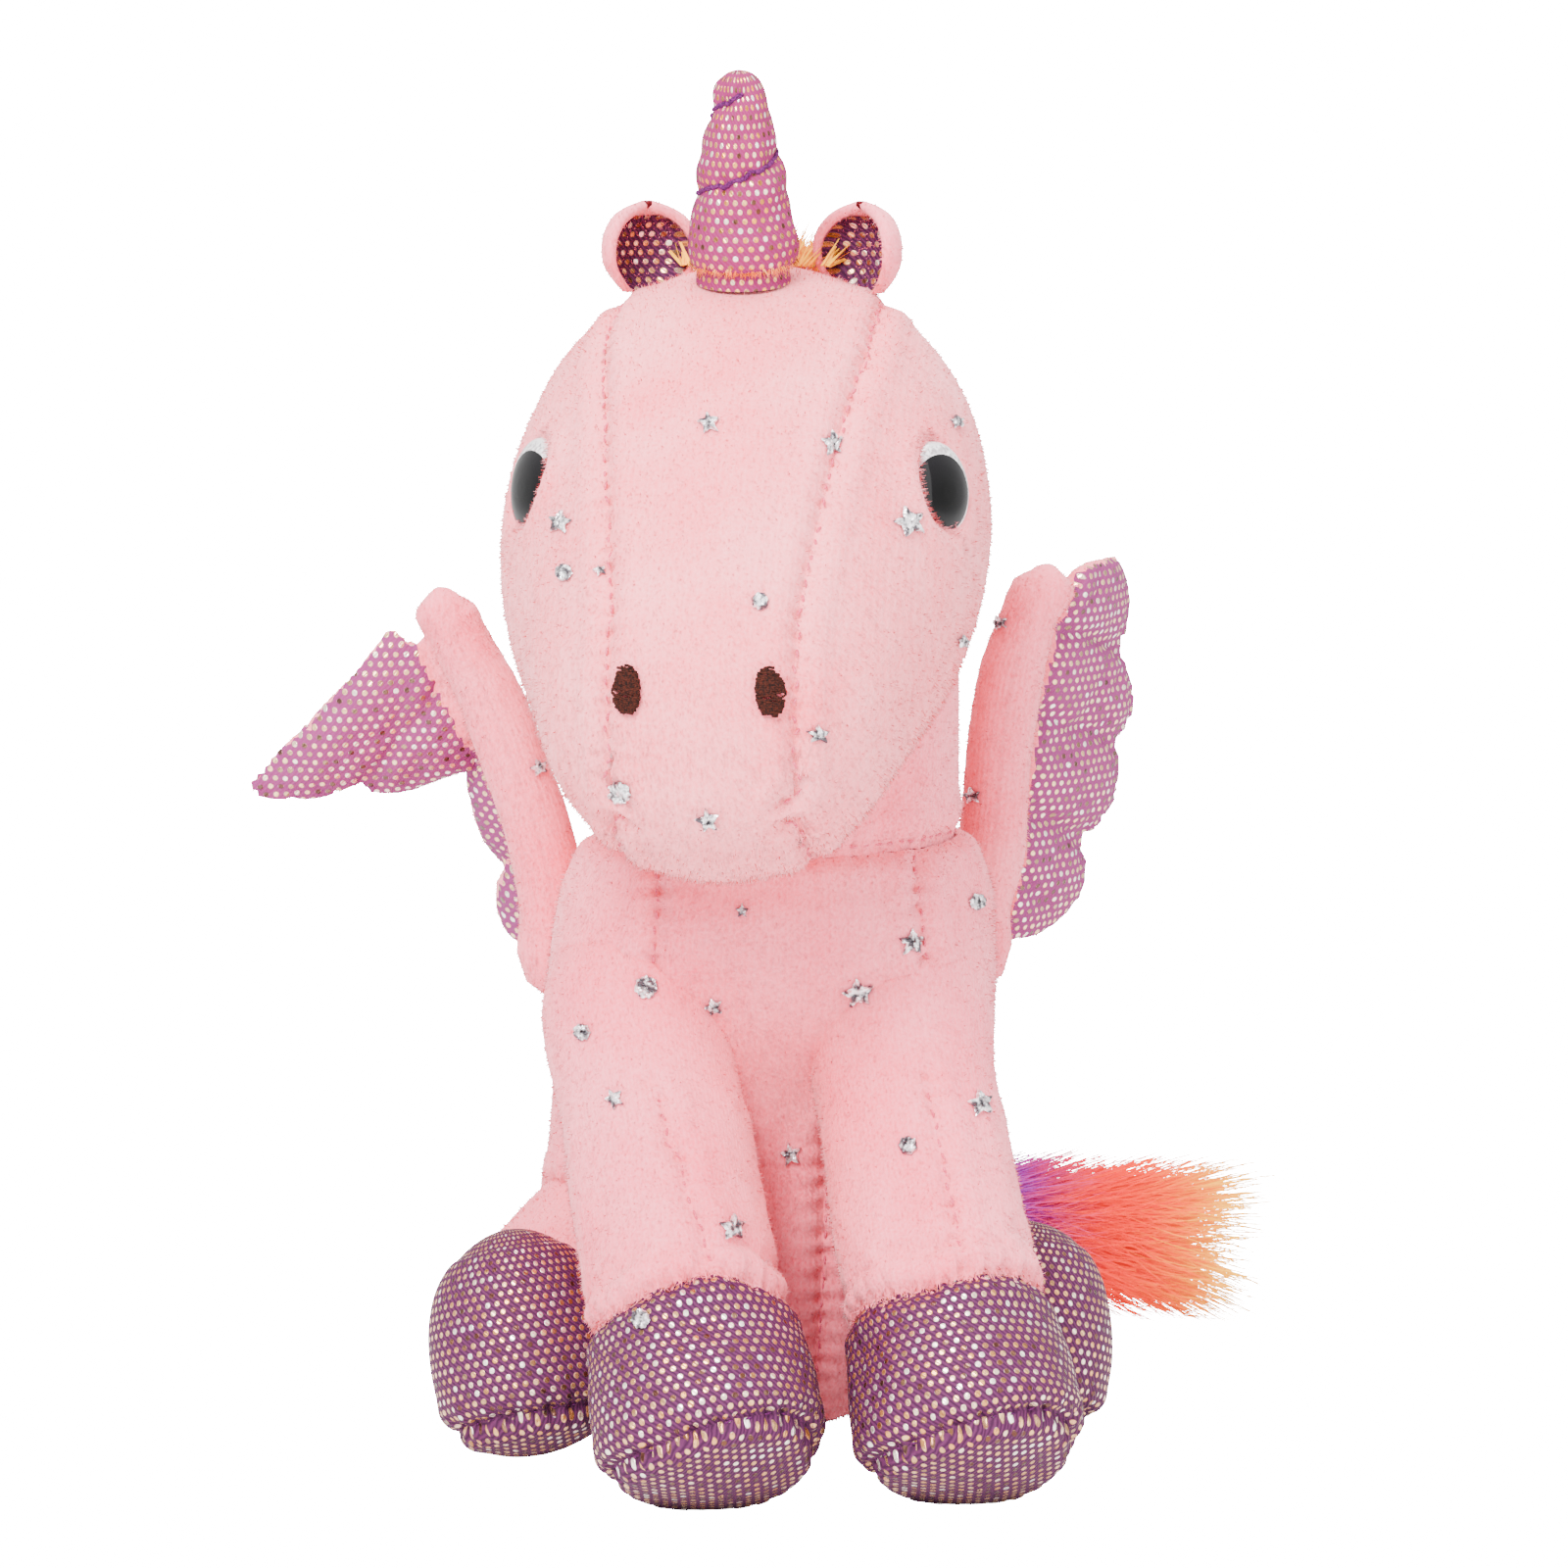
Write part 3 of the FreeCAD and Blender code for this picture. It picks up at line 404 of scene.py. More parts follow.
def foil_dots(name, base, dot, dot_r=DOT_R):
    """Woven cloth printed with a hexagonal grid of foil dots; some dots carry a painted glint and others a
    dark painted reflection.
    """
    s = Shader(name, Specular_IOR_Level=0.2)
    cloth = s.attribute("cloth", 1)
    grid = s.vector("MULTIPLY", cloth, (1 / DOT_PITCH, 1 / (DOT_PITCH * math.sqrt(3)), 0))
    distances = []
    for shift in ((0, 0, 0), (0.5, 0.5, 0)):
        cell = s.vector("FRACTION", s.vector("ADD", grid, shift))
        centred = s.vector("SUBTRACT", cell, (0.5, 0.5, 0))
        flat = s.vector("MULTIPLY", centred, (DOT_PITCH, DOT_PITCH * math.sqrt(3), 0))
        distances.append(s.vector("LENGTH", flat, output=1))
    distance = s.math("MINIMUM", *distances)
    mask = s.range(distance, dot_r - 0.12, dot_r + 0.1, 1.0, 0.0)
    dot_cell = s.vector("ADD", s.vector("MULTIPLY", grid, (2, 2, 1)), (0.5, 0.5, 0))
    dot_reflection = s.node("ShaderNodeTexWhiteNoise", 0, [("noise_dimensions", "3D")],
                   Vector=s.vector("FLOOR", dot_cell))
    twill = s.node("ShaderNodeTexWave", 1, [("bands_direction", "DIAGONAL")], Vector=cloth, Scale=0.55,
                   Distortion=0.6)
    pale_dot_patches = s.noise(260, 3)
    woven = s.mix(s.range(twill, 0.0, 1.0, 0.0, 0.22), base, linear(142, 66, 118))
    # the foil dots turn paler cream in patches
    foil = s.mix(s.range(pale_dot_patches, 0.4, 0.7, 0.0, 0.5), dot, linear(255, 226, 176))
    # painted reflections: each cell's random pick turns some dots near white (a painted glint) and some dark
    # (a painted reflection)
    foil = s.mix(s.range(dot_reflection, 0.7, 0.98, 0.0, 1.0), foil, linear(255, 246, 232))
    foil = s.mix(s.range(dot_reflection, 0.05, 0.35, 0.9, 0.0), foil, linear(44, 10, 32))
    s.feed("Base Color", s.mix(mask, woven, foil))
    s.feed("Metallic", s.math("MULTIPLY", mask, 0.85))
    s.feed("Roughness", s.range(mask, 0.0, 1.0, 0.75, 0.27))
    s.bump(s.math("ADD", s.math("MULTIPLY", mask, 0.7), s.math("MULTIPLY", twill, 0.3)), 0.5, 0.0004)
    return s.material


def crumpled_foil(name):
    """Silver foil with creases, and darker patches painted as dark reflections."""
    s = Shader(name, Metallic=0.8, Roughness=0.3)
    creases = s.node("ShaderNodeTexVoronoi", Vector=s.place(), Scale=620.0)
    cloud = s.noise(700, 4)
    # painted reflection: cloud noise darkens the silver in patches
    reflection_tint = s.mix(s.range(cloud, 0.42, 0.58, 0.0, 1.0), linear(84, 78, 84), linear(244, 240, 242))
    s.feed("Base Color", reflection_tint)
    s.bump(s.math("ADD", creases, cloud), 0.5, 0.0005)
    return s.material


def thread(name, colour, fibre):
    """Sewing thread: a colour flecked with its lighter fibres."""
    s = Shader(name, Roughness=0.8, Specular_IOR_Level=0.15)
    s.feed("Base Color", s.mix(s.range(s.noise(2600, 2), 0.35, 0.65, 0, 1), colour, fibre))
    s.bump(s.noise(3500, 2), 0.4, 0.0003)
    return s.material


def eye_finish():
    """A glossy black pupil with a painted grey highlight towards its edge, a pearly glitter ring round it
    and a thin white rim.
    """
    s = Shader("eye_gloss", Roughness=0.07, Specular_IOR_Level=0.16)
    ring = s.math("GREATER_THAN", s.attribute("pupil"), 1.0)
    rim = s.math("GREATER_THAN", s.attribute("rim"), 0.93)
    glitter = s.node("ShaderNodeTexVoronoi", 1, Vector=s.place(), Scale=1900.0)
    sparkle = s.node("ShaderNodeSeparateColor", Color=glitter)
    pearl = s.mix(s.range(sparkle, 0.1, 0.9, 0.0, 1.0), linear(176, 166, 170), linear(255, 252, 252))
    # painted highlight: the pupil runs from black in its middle to dark grey towards its edge
    pupil_highlight = s.mix(s.range(s.attribute("pupil"), 0.2, 1.0, 0.0, 1.0), linear(1, 1, 1), linear(20, 19, 21))
    colour = s.mix(rim, s.mix(ring, pupil_highlight, pearl), linear(240, 236, 236))
    s.feed("Base Color", colour)
    s.feed("Metallic", s.math("MULTIPLY", ring, 0.35))
    s.bump(s.math("MULTIPLY", sparkle, ring), 0.35, 0.0003)
    return s.material


def fur(name):
    """Long brushed fur whose colour each strand carries, with a faint painted glow in that colour."""
    s = Shader(name, Roughness=0.75, Specular_IOR_Level=0.2)
    colour = s.attribute("fur_colour", 0)
    streak = s.mix(s.range(s.noise(900, 2), 0.35, 0.7, 0.0, 0.05), colour, linear(255, 220, 190))
    s.feed("Base Color", streak)
    # painted glow: the fur emits a little of its own colour to brighten it
    s.feed("Emission Color", colour)
    s.surface.inputs["Emission Strength"].default_value = 0.12
    return s.material


def plain(name, colour, roughness):
    s = Shader(name, Roughness=roughness)
    s.feed("Base Color", s.mix(s.range(s.noise(900, 2), 0.3, 0.7, 0.0, 0.15), colour, linear(255, 255, 255)))
    return s.material


PINK = plush("pink_plush", linear(244, 80, 106), linear(255, 140, 154))
PALE_PINK = plush("face_plush", linear(250, 92, 108), linear(255, 150, 158))
PURPLE_FOIL = foil_dots("purple_foil", linear(52, 8, 44), linear(212, 146, 84))
WING_FOIL = foil_dots("wing_foil", linear(128, 44, 98), linear(240, 190, 140))
ORCHID_FOIL = foil_dots("orchid_foil", linear(128, 18, 78), linear(228, 146, 52))
SILVER = crumpled_foil("silver_foil")
SEAM_THREAD = thread("pink_thread", linear(196, 56, 88), linear(228, 104, 128))
DARK_THREAD = thread("purple_thread", linear(52, 8, 50), linear(100, 30, 92))
BROWN_THREAD = thread("brown_thread", linear(16, 3, 2), linear(60, 20, 10))
EYE = eye_finish()
FUR = fur("rainbow_fur")
WHITE_PLASTIC = plain("washer_plastic", linear(226, 224, 220), 0.5)


# ---- sewing ----
def pucker(obj, lines, depth=1.0, width=1.5, pitch=3.6):
    """Draws a skin in along its seams, more where a stitch holds it, and puffs it up on both sides."""
    tree = kd_tree(np.vstack(lines))
    steps = np.concatenate([travelled(line) for line in lines])
    near = [tree.find(Vector(p)) for p in mesh_points(obj)]
    distance = np.array([n[2] for n in near])
    along = steps[[n[1] for n in near]]
    held = 0.7 + 0.3 * np.cos(2 * math.pi * along / pitch)
    folds = np.exp(-(distance / (3.2 * width)) ** 2) * 0.3 * np.sin(2 * math.pi * along / (pitch * 1.35))
    puff = 0.45 * np.exp(-((distance - 3 * width) / (1.6 * width)) ** 2)
    push(obj, depth * (puff + folds - held * np.exp(-(distance / width) ** 2)))


def on_surface(tree, points):
    """The nearest places on a surface, with its outward directions."""
    found = [tree.find_nearest(Vector(p)) for p in points]
    return np.array([f[0] for f in found]), np.array([f[1] for f in found])


def bead(start, end, normal, radius):
    """A short stitch: a thin rod that dips at both ends."""
    side = np.cross(unit(end - start), normal)
    sections_at = ((0, 0.35, -0.5), (0.2, 0.9, 0.15), (0.5, 1.0, 0.45), (0.8, 0.9, 0.15), (1, 0.35, -0.5))
    rows = []
    for t, size, lift in sections_at:
        centre = start + (end - start) * t + normal * (lift * radius)
        for k in range(6):
            a = math.pi * k / 3
            rows.append(centre + (side * math.cos(a) + normal * math.sin(a)) * radius * size)
    return np.array(rows), grid_faces(len(sections_at), 6, True)


def stitches(name, lines, tree, follow, material, spacing=3.0, length=2.0, radius=0.3):
    """Thread showing along seams, one rod per stitch, as one piece."""
    rods = []
    for line in lines:
        points = curve_through(line, max(3, int(line_length(line) / spacing)))
        places, normals = on_surface(tree, points)
        for i in range(len(places) - 1):
            along = unit(places[i + 1] - places[i])
            sway = np.cross(along, normals[i]) * RNG.uniform(-0.35, 0.35)
            end = places[i] + along * length * RNG.uniform(0.7, 1.1) - sway
            rods.append(bead(places[i] + sway, end, normals[i], radius))
    return attach(add_mesh(name, *join_parts(rods), material), follow)


# ---- pile and fur ----
def scatter(obj, area):
    """Places spread over a mesh, one per area, as (points, outward directions, ribs)."""
    mesh = obj.data
    mesh.calc_loop_triangles()
    count = len(mesh.loop_triangles)
    corners = np.zeros(count * 3, np.int32)
    mesh.loop_triangles.foreach_get("vertices", corners)
    corners = corners.reshape(-1, 3)
    points, normals = mesh_points(obj), mesh_normals(obj)
    ribs = np.zeros(len(points), np.float32)
    if "rib" in mesh.attributes:
        mesh.attributes["rib"].data.foreach_get("value", ribs)
    a, b, c = (points[corners[:, k]] for k in range(3))
    size = np.linalg.norm(np.cross(b - a, c - a), axis=1) / 2
    total = int(size.sum() / area)
    chosen = RNG.choice(count, total, p=size / size.sum())
    u, v = RNG.random(total), RNG.random(total)
    fold = u + v > 1
    u[fold], v[fold] = 1 - u[fold], 1 - v[fold]
    weights = np.stack([1 - u - v, u, v], axis=1)
    picked = corners[chosen]
    at = (points[picked] * weights[:, :, None]).sum(1)
    out = unit((normals[picked] * weights[:, :, None]).sum(1))
    return at, out, (ribs[picked] * weights).sum(1)


def blades(name, roots, directions, outward, lengths, widths, material, ribs):
    """Short hairs, each a narrow triangle, shaded like the skin that they stand on."""
    flat = np.cross(directions, outward) + RNG.normal(size=roots.shape) * 0.05
    side = unit(flat) * (widths / 2)[:, None]
    tips = roots + directions * lengths[:, None]
    verts = np.stack([roots - side, roots + side, tips], axis=1).reshape(-1, 3)
    obj = add_mesh(name, verts, np.arange(len(verts)).reshape(-1, 3), material)
    set_attribute(obj, "rib", np.repeat(ribs, 3))
    obj.data.normals_split_custom_set_from_vertices(np.repeat(outward, 3, axis=0).tolist())
    return obj


def pile(name, skin, follow, length=PILE_LENGTH, area=PILE_AREA, lay=(0, 0, -0.55)):
    """The short pile of a plush skin, brushed downward."""
    roots, out, ribs = scatter(skin, area)
    wild = RNG.normal(size=roots.shape) * 0.35
    directions = unit(out * 0.75 + np.array(lay) + wild)
    lengths = length * RNG.uniform(0.6, 1.2, len(roots))
    widths = PILE_WIDTH * RNG.uniform(0.7, 1.2, len(roots))
    obj = blades(name, roots - out * 0.25, directions, out, lengths, widths, skin.data.materials[0], ribs)
    return attach(obj, follow)


def fringe(name, line, tree, follow, material, toward, length=2.6, per_mm=5.0, spread=1.2):
    """Pile that hangs over an edge, such as a seam where fabrics meet."""
    centre = curve_through(line, int(line_length(line) * per_mm))
    toward = np.broadcast_to(np.asarray(toward, float), centre.shape)
    places, out = on_surface(tree, centre + RNG.normal(size=centre.shape) * spread * 0.4)
    directions = unit(toward + out * 0.5 + RNG.normal(size=centre.shape) * 0.3)
    lengths = length * RNG.uniform(0.5, 1.2, len(places))
    widths, ribs = np.full(len(places), 0.5), np.zeros(len(places))
    obj = blades(name, places - directions * 0.6, directions, out, lengths, widths, material, ribs)
    return attach(obj, follow)


def locks(name, paths, widths, colours):
    """Long fur: one ribbon per path (count, steps, 3), with a colour at each step."""
    count, steps, _ = paths.shape
    along = unit(np.gradient(paths, axis=1))
    side = unit(np.cross(along, RNG.normal(size=(count, 1, 3))))
    taper = np.linspace(1, 0.15, steps)[None, :, None]
    half = side * (widths[:, None, None] / 2) * taper
    verts = np.stack([paths - half, paths + half], axis=2).reshape(-1, 3)
    strip = grid_faces(steps, 2, False)
    faces = (strip[None] + (np.arange(count) * steps * 2)[:, None, None]).reshape(-1, 4)
    obj = add_mesh(name, verts, faces, FUR)
    layer = obj.data.attributes.new("fur_colour", "FLOAT_COLOR", "POINT")
    layer.data.foreach_set("color", np.repeat(colours, 2, axis=1).astype(np.float32).ravel())
    return obj


RAINBOW = np.array([linear(*c) for c in ((150, 44, 170), (172, 64, 190), (232, 36, 120), (252, 12, 24),
                                         (255, 52, 6), (255, 112, 0), (255, 190, 0))])


def rainbow(share):
    """The fur's colour from root (0) to tip (1)."""
    return interp_rows(np.clip(share, 0, 1) * (len(RAINBOW) - 1), np.arange(len(RAINBOW)), RAINBOW)


# ---- foil print ----
def star_radius(angle, size, inner=0.5):
    """A five-pointed star's outline with straight sides, as a distance from its centre."""
    turn = math.pi / 5
    a = np.abs((angle + turn) % (2 * turn) - turn)
    tip, notch = np.array([size, 0.0]), size * inner * np.array([math.cos(turn), math.sin(turn)])
    edge = notch - tip
    return (tip[0] * edge[1]) / (np.cos(a) * edge[1] - np.sin(a) * edge[0])


def print_outline(share_x, share_z, size, turn, points, angle):
    """The edge of one print, slightly ragged, as distances from its centre."""
    if points:
        radius = star_radius(angle - math.radians(turn) - math.pi / 2, size)
    else:
        radius = np.full(len(angle), size)
    ragged = 0.05 * np.sin(angle * 7 + 60 * share_x) + 0.03 * np.sin(angle * 13 + 60 * share_z)
    return radius * (1 + ragged)


def lay_on(tree, at, origins):
    """Where points in front of a skin land on it; one that misses or lands deep takes the nearest place."""
    toward, deepest = -VIEW_FROM, 6
    middle = tree.ray_cast(Vector(origins[0]), Vector(toward))[0] or tree.find_nearest(Vector(at))[0]
    flat = origins - toward * (origins @ toward)[:, None] + toward * (np.array(middle) @ toward)
    found = []
    for origin, level in zip(origins, flat):
        hit = tree.ray_cast(Vector(origin), Vector(toward))
        clear = hit[0] is not None and abs(hit[0] @ Vector(toward) - middle @ Vector(toward)) < deepest
        found.append(hit if clear else tree.find_nearest(Vector(level)))
    return np.array([f[0] for f in found]), np.array([f[1] for f in found])


def foil_print(name, prints, skin, tree, follow):
    """Crumpled foil on a skin: (share across, share up, size, turn in degrees, points or 0 for a dot).

    The shares are of the skin's outline as seen from VIEW_FROM.
    """
    rings, around, in_front = 7, 60, 300
    angle = full_turn(around)
    across, rise = mesh_points(skin) @ VIEW_ACROSS, mesh_points(skin) @ VIEW_RISE
    parts = []
    for share_x, share_z, size, turn, points in prints:
        at = (VIEW_ACROSS * (across.min() + share_x * np.ptp(across))
              + VIEW_RISE * (rise.min() + share_z * np.ptp(rise)))
        radius = print_outline(share_x, share_z, size, turn, points, angle)
        flat = np.linspace(0.02, 1, rings)[:, None] * radius[None]
        origins = at + spokes(VIEW_ACROSS, VIEW_RISE, angle) * flat[..., None] + VIEW_FROM * in_front
        places, out = lay_on(tree, at, origins.reshape(-1, 3))
        crumple = 1.0 + RNG.uniform(-0.12, 0.12, len(places))
        crumple.reshape(rings, around)[-1] -= 0.5
        parts.append((places + out * crumple[:, None], grid_faces(rings, around, True)))
    obj = add_mesh(name, *join_parts(parts), SILVER, smooth=False)
    return attach(obj, follow)


# ---- cloth ----
CLOTH_QUALITY, CLOTH_MASS = 6, 0.25


def inflate(obj, held, pressure=4.0, frames=16, ease=0.03, most=1.6):
    """Blows a sewn skin up by cloth simulation between the vertices that its seams hold."""
    before = mesh_points(obj)
    group = obj.vertex_groups.new(name="held")
    group.add([int(i) for i in np.flatnonzero(held)], 1.0, "REPLACE")
    cloth = obj.modifiers.new("cloth", "CLOTH")
    cloth.settings.quality = CLOTH_QUALITY
    cloth.settings.mass = CLOTH_MASS
    cloth.settings.use_pressure = True
    cloth.settings.uniform_pressure_force = pressure
    cloth.settings.shrink_min = -ease
    cloth.settings.vertex_group_mass = "held"
    cloth.settings.effector_weights.gravity = 0.0
    cloth.point_cache.frame_start, cloth.point_cache.frame_end = 1, frames
    for step in range(1, frames + 1):
        bpy.context.scene.frame_set(step)
    shape = obj.evaluated_get(bpy.context.evaluated_depsgraph_get())
    after = np.array([v.co for v in shape.data.vertices]) / MM
    obj.modifiers.remove(cloth)
    bpy.context.scene.frame_set(1)
    move = np.nan_to_num(after - before)
    far = np.linalg.norm(move, axis=1, keepdims=True)
    set_points(obj, before + move * np.minimum(1, most / np.maximum(far, 1e-6)))


def soften(obj, levels=1):
    """Subdivides a mesh smoothly and keeps the result."""
    modifier = obj.modifiers.new("subdivide", "SUBSURF")
    modifier.levels = levels
    shape = obj.evaluated_get(bpy.context.evaluated_depsgraph_get())
    mesh = bpy.data.meshes.new_from_object(shape)
    obj.modifiers.remove(modifier)
    obj.data = mesh


# ---- turned skins ----
def basis(axis, first):
    """Two directions across an axis; the first is as near as can be to the one asked for."""
    axis = unit(axis)
    a = unit(np.asarray(first, float) - axis * np.dot(first, axis))
    return a, np.cross(axis, a)


def turned_skin(name, origin, axis, profile, material, rows, columns, first=(0, -1, 0)):
    """A skin turned about an axis; returns it with each vertex's (distance along, angle)."""
    shape = curve_through(np.array(profile, float), rows)
    angle = full_turn(columns)
    ring = spokes(*basis(axis, first), angle)
    verts = np.asarray(origin) + unit(axis) * shape[:, :1, None] + ring[None] * shape[:, 1:, None]
    obj = add_mesh(name, verts.reshape(-1, 3), grid_faces(rows, columns, True)[:, ::-1], material)
    along, turn = np.repeat(shape[:, 0], columns), np.tile(angle, rows)
    wrapped = ((turn + math.pi) % (2 * math.pi) - math.pi) * np.max(shape[:, 1])
    set_attribute(obj, "rib", wrapped)
    set_plane(obj, np.column_stack([wrapped, np.repeat(travelled(shape), columns)]))
    set_attribute(obj, "part", along)
    return outward(obj), along, turn


def outward(obj):
    """Turns a closed skin's faces to the outside."""
    work = bmesh.new()
    work.from_mesh(obj.data)
    bmesh.ops.recalc_face_normals(work, faces=work.faces)
    work.to_mesh(obj.data)
    work.free()
    return obj


def face_values(obj, name):
    """The mean of a point attribute over each face."""
    values = np.zeros(len(obj.data.vertices), np.float32)
    obj.data.attributes[name].data.foreach_get("value", values)
    return np.array([values[list(f.vertices)].mean() for f in obj.data.polygons])


def face_centres(obj):
    points = mesh_points(obj)
    return np.array([points[list(f.vertices)].mean(0) for f in obj.data.polygons])


def panelled_skin(name, rings, seam_angles, counts, material, rib_r):
    """A skin of rings(angles, row) whose columns follow its seams; counts are columns per panel."""
    verts, ribs = [], []
    for row, stops in enumerate(seam_angles):
        spans = zip(stops, stops[1:], counts)
        angle = np.concatenate([np.linspace(a, b, n, endpoint=False) for a, b, n in spans])
        verts.append(rings(angle, row))
        ribs.append(angle * rib_r)
    obj = add_mesh(name, np.vstack(verts), grid_faces(len(seam_angles), sum(counts), True), material)
    set_attribute(obj, "rib", np.concatenate(ribs))
    column = np.arange(len(obj.data.polygons)) % sum(counts)
    panel = np.searchsorted(np.cumsum(counts), column, side="right")
    return outward(obj), panel


def seam_line(obj, rows, columns, column):
    points = mesh_points(obj).reshape(rows, columns, 3)
    return points[:, column]


# ---- head ----
HEAD_ROWS, HEAD_COUNTS = 150, (44, 62, 40, 62)
HEAD_SEAM_ROWS = slice(14, HEAD_ROWS - 12)
# the eye's bulge: (height in mm, share of the eye's radius)
EYE_BULGE = ((0.0, 1.0), (1.0, 0.995), (2.2, 0.93), (3.3, 0.78), (4.2, 0.52), (4.6, 0.25))
EYE_TOP = (4.7, 0.05)
PUPIL_W, PUPIL_H, PUPIL_SHIFT = 0.84, 0.76, 0.1          # shares of the eye's radius
NOSTRIL_HALF_W, NOSTRIL_HALF_H, NOSTRIL_PITCH, NOSTRIL_THREAD_R = 2.5, 4.4, 0.36, 0.27
NOSTRIL_STEPS, NOSTRIL_SIDES, MUZZLE_MIDDLE = 7, 6, 55


def egg_place(along, angle, radius):
    spoke = BROW_UP * np.cos(angle)[..., None] + SIDEWAYS * np.sin(angle)[..., None]
    return SKULL + MUZZLE_AXIS * np.asarray(along)[..., None] + spoke * np.asarray(radius)[..., None]


def eye_frame(label):
    """The eye's seat, look direction and radius, from its CAD dome."""
    points = node_points(f"{label}_eye_dome")
    centre = (points.min(0) + points.max(0)) / 2
    _, _, axes = np.linalg.svd(points - points.mean(0), full_matrices=False)
    look = axes[2] * np.sign(axes[2] @ (centre - SKULL))
    depth = (points - centre) @ look
    radius = np.linalg.norm(np.cross(points - centre, look), axis=1).max()
    return centre + look * depth.min(), look, radius


def eye_hollows(points):
    """How far the face is drawn in under each eye, and raised round its front."""
    lift = np.zeros(len(points))
    for label, _ in SIDES:
        seat, look, radius = eye_frame(label)
        distance = np.linalg.norm(np.cross(points - seat, look), axis=1)
        near = np.linalg.norm(points - seat, axis=1) < 3 * radius
        hollow = -3.4 * np.exp(-(distance / (0.8 * radius)) ** 4)
        mound = np.exp(-((distance - radius - 1.2) / 2.6) ** 2)
        ahead = np.clip(unit(points - seat) @ FORWARD, 0, 1)
        below = np.clip(-unit(points - seat) @ UP, 0, 1)
        lift += near * (hollow + mound * (0.2 + 1.2 * ahead) * (1 - 0.8 * below))
    return lift


def head_skin():
    """The egg-shaped skin, with a column of vertices along each of its four seams."""
    shape = curve_through(np.array(HEAD_PROFILE, float), HEAD_ROWS)
    half = np.interp(shape[:, 0], (0, FACE_NOSE_AT), (FACE_HALF_TOP, FACE_HALF_NOSE))
    seam = np.arcsin(np.minimum(half / np.maximum(shape[:, 1], 0.1), 0.985))
    stops = np.stack([-seam, seam, math.pi - seam, math.pi + seam, 2 * math.pi - seam], axis=1)

    def ring(angle, row):
        return egg_place(np.full(len(angle), shape[row, 0]), angle, np.full(len(angle), shape[row, 1]))

    obj, panel = panelled_skin("head_skin", ring, stops, HEAD_COUNTS, PALE_PINK, rib_r=42)
    set_attribute(obj, "rib", (mesh_points(obj) - SKULL) @ SIDEWAYS)
    columns = np.cumsum((0,) + HEAD_COUNTS[:-1])
    lines = [seam_line(obj, HEAD_ROWS, sum(HEAD_COUNTS), c)[HEAD_SEAM_ROWS] for c in columns]
    push(obj, 0.7 * lumps(mesh_points(obj), 34, 3))
    pucker(obj, lines, depth=1.7, width=1.5)
    push(obj, eye_hollows(mesh_points(obj)))
    return obj, panel, lines


def build_eye(label):
    seat, look, radius = eye_frame(label)
    bulge = [(height, radius * share) for height, share in EYE_BULGE] + [EYE_TOP]
    obj, _, _ = turned_skin(f"{label}_eye_dome", seat, look, bulge, EYE, 28, 72, first=UP)
    offset = mesh_points(obj) - seat
    across = unit(np.cross(look, UP))
    high, wide = offset @ UP, offset @ across
    inward = PUPIL_SHIFT * radius * np.sign(across @ FORWARD)
    set_attribute(obj, "pupil", np.hypot((wide - inward) / (PUPIL_W * radius), high / (PUPIL_H * radius)))
    set_attribute(obj, "rim", np.hypot(wide, high) / radius)
    stand_for(obj, "eye_clear", "head", f"{label}_eye_dome", f"{label}_eye_base")
    washer = frame["nodes"][f"{label}_eye_washer"].data
    washer.materials.clear()
    washer.materials.append(WHITE_PLASTIC)


def eye_fringe(label, tree):
    """Pile that hangs over the front rim of the sunk eye."""
    seat, look, radius = eye_frame(label)
    rim = seat + spokes(*basis(look, UP), np.linspace(0, 2 * math.pi, 90)) * (radius + 0.8)
    front = rim[(rim - seat) @ FORWARD > -0.15 * radius]
    edge = curve_through(front, len(front))
    toward = unit(seat + look * 4 - edge.mean(0)) + look * 0.5
    fringe(f"{label}_eye_pile", edge, tree, "head", PALE_PINK, toward, length=1.9, per_mm=9.0)


def build_nostril(label, tree):
    """Satin stitch: close parallel threads across an oval."""
    centre = node_centre(f"{label}_nostril_embroidery")
    face_out = unit(centre - SKULL - MUZZLE_AXIS * MUZZLE_MIDDLE)
    across = unit(np.cross(face_out, UP)) * -1
    rise = np.cross(across, face_out)
    arch = 0.85 + 0.7 * np.sin(np.linspace(0.1, math.pi - 0.1, NOSTRIL_STEPS))
    threads = []
    for level in np.arange(-NOSTRIL_HALF_H, NOSTRIL_HALF_H, NOSTRIL_PITCH):
        reach = NOSTRIL_HALF_W * math.sqrt(max(0.05, 1 - (level / (NOSTRIL_HALF_H + 0.2)) ** 2))
        ends = [-reach - RNG.uniform(0.0, 0.5), reach + RNG.uniform(0.0, 0.5)]
        line = [centre + across * t + rise * (level + 0.12 * t) for t in np.linspace(*ends, NOSTRIL_STEPS)]
        places, out = on_surface(tree, np.array(line))
        places = places + out * arch[:, None]
        rods = [place + spokes(rise, up, full_turn(NOSTRIL_SIDES)) * NOSTRIL_THREAD_R
                for place, up in zip(places, out)]
        threads.append((np.vstack(rods), grid_faces(NOSTRIL_STEPS, NOSTRIL_SIDES, True)))
    obj = add_mesh(f"{label}_nostril_embroidery", *join_parts(threads), BROWN_THREAD)
    stand_for(obj, "brown_thread", "head", f"{label}_nostril_embroidery")


HEAD_PRINTS = ((0.43, 0.71, 2.5, 10, 5), (0.67, 0.68, 2.7, 5, 5), (0.14, 0.56, 2.7, -10, 5),
               (0.15, 0.48, 1.7, 0, 0), (0.22, 0.48, 1.5, 20, 5), (0.82, 0.56, 3.6, 20, 5),
               (0.53, 0.43, 1.7, 0, 0), (0.64, 0.23, 2.2, 0, 5), (0.43, 0.10, 2.5, 12, 5),
               (0.26, 0.14, 2.3, 0, 0), (0.93, 0.38, 1.5, 0, 5), (0.92, 0.73, 1.7, 15, 5))


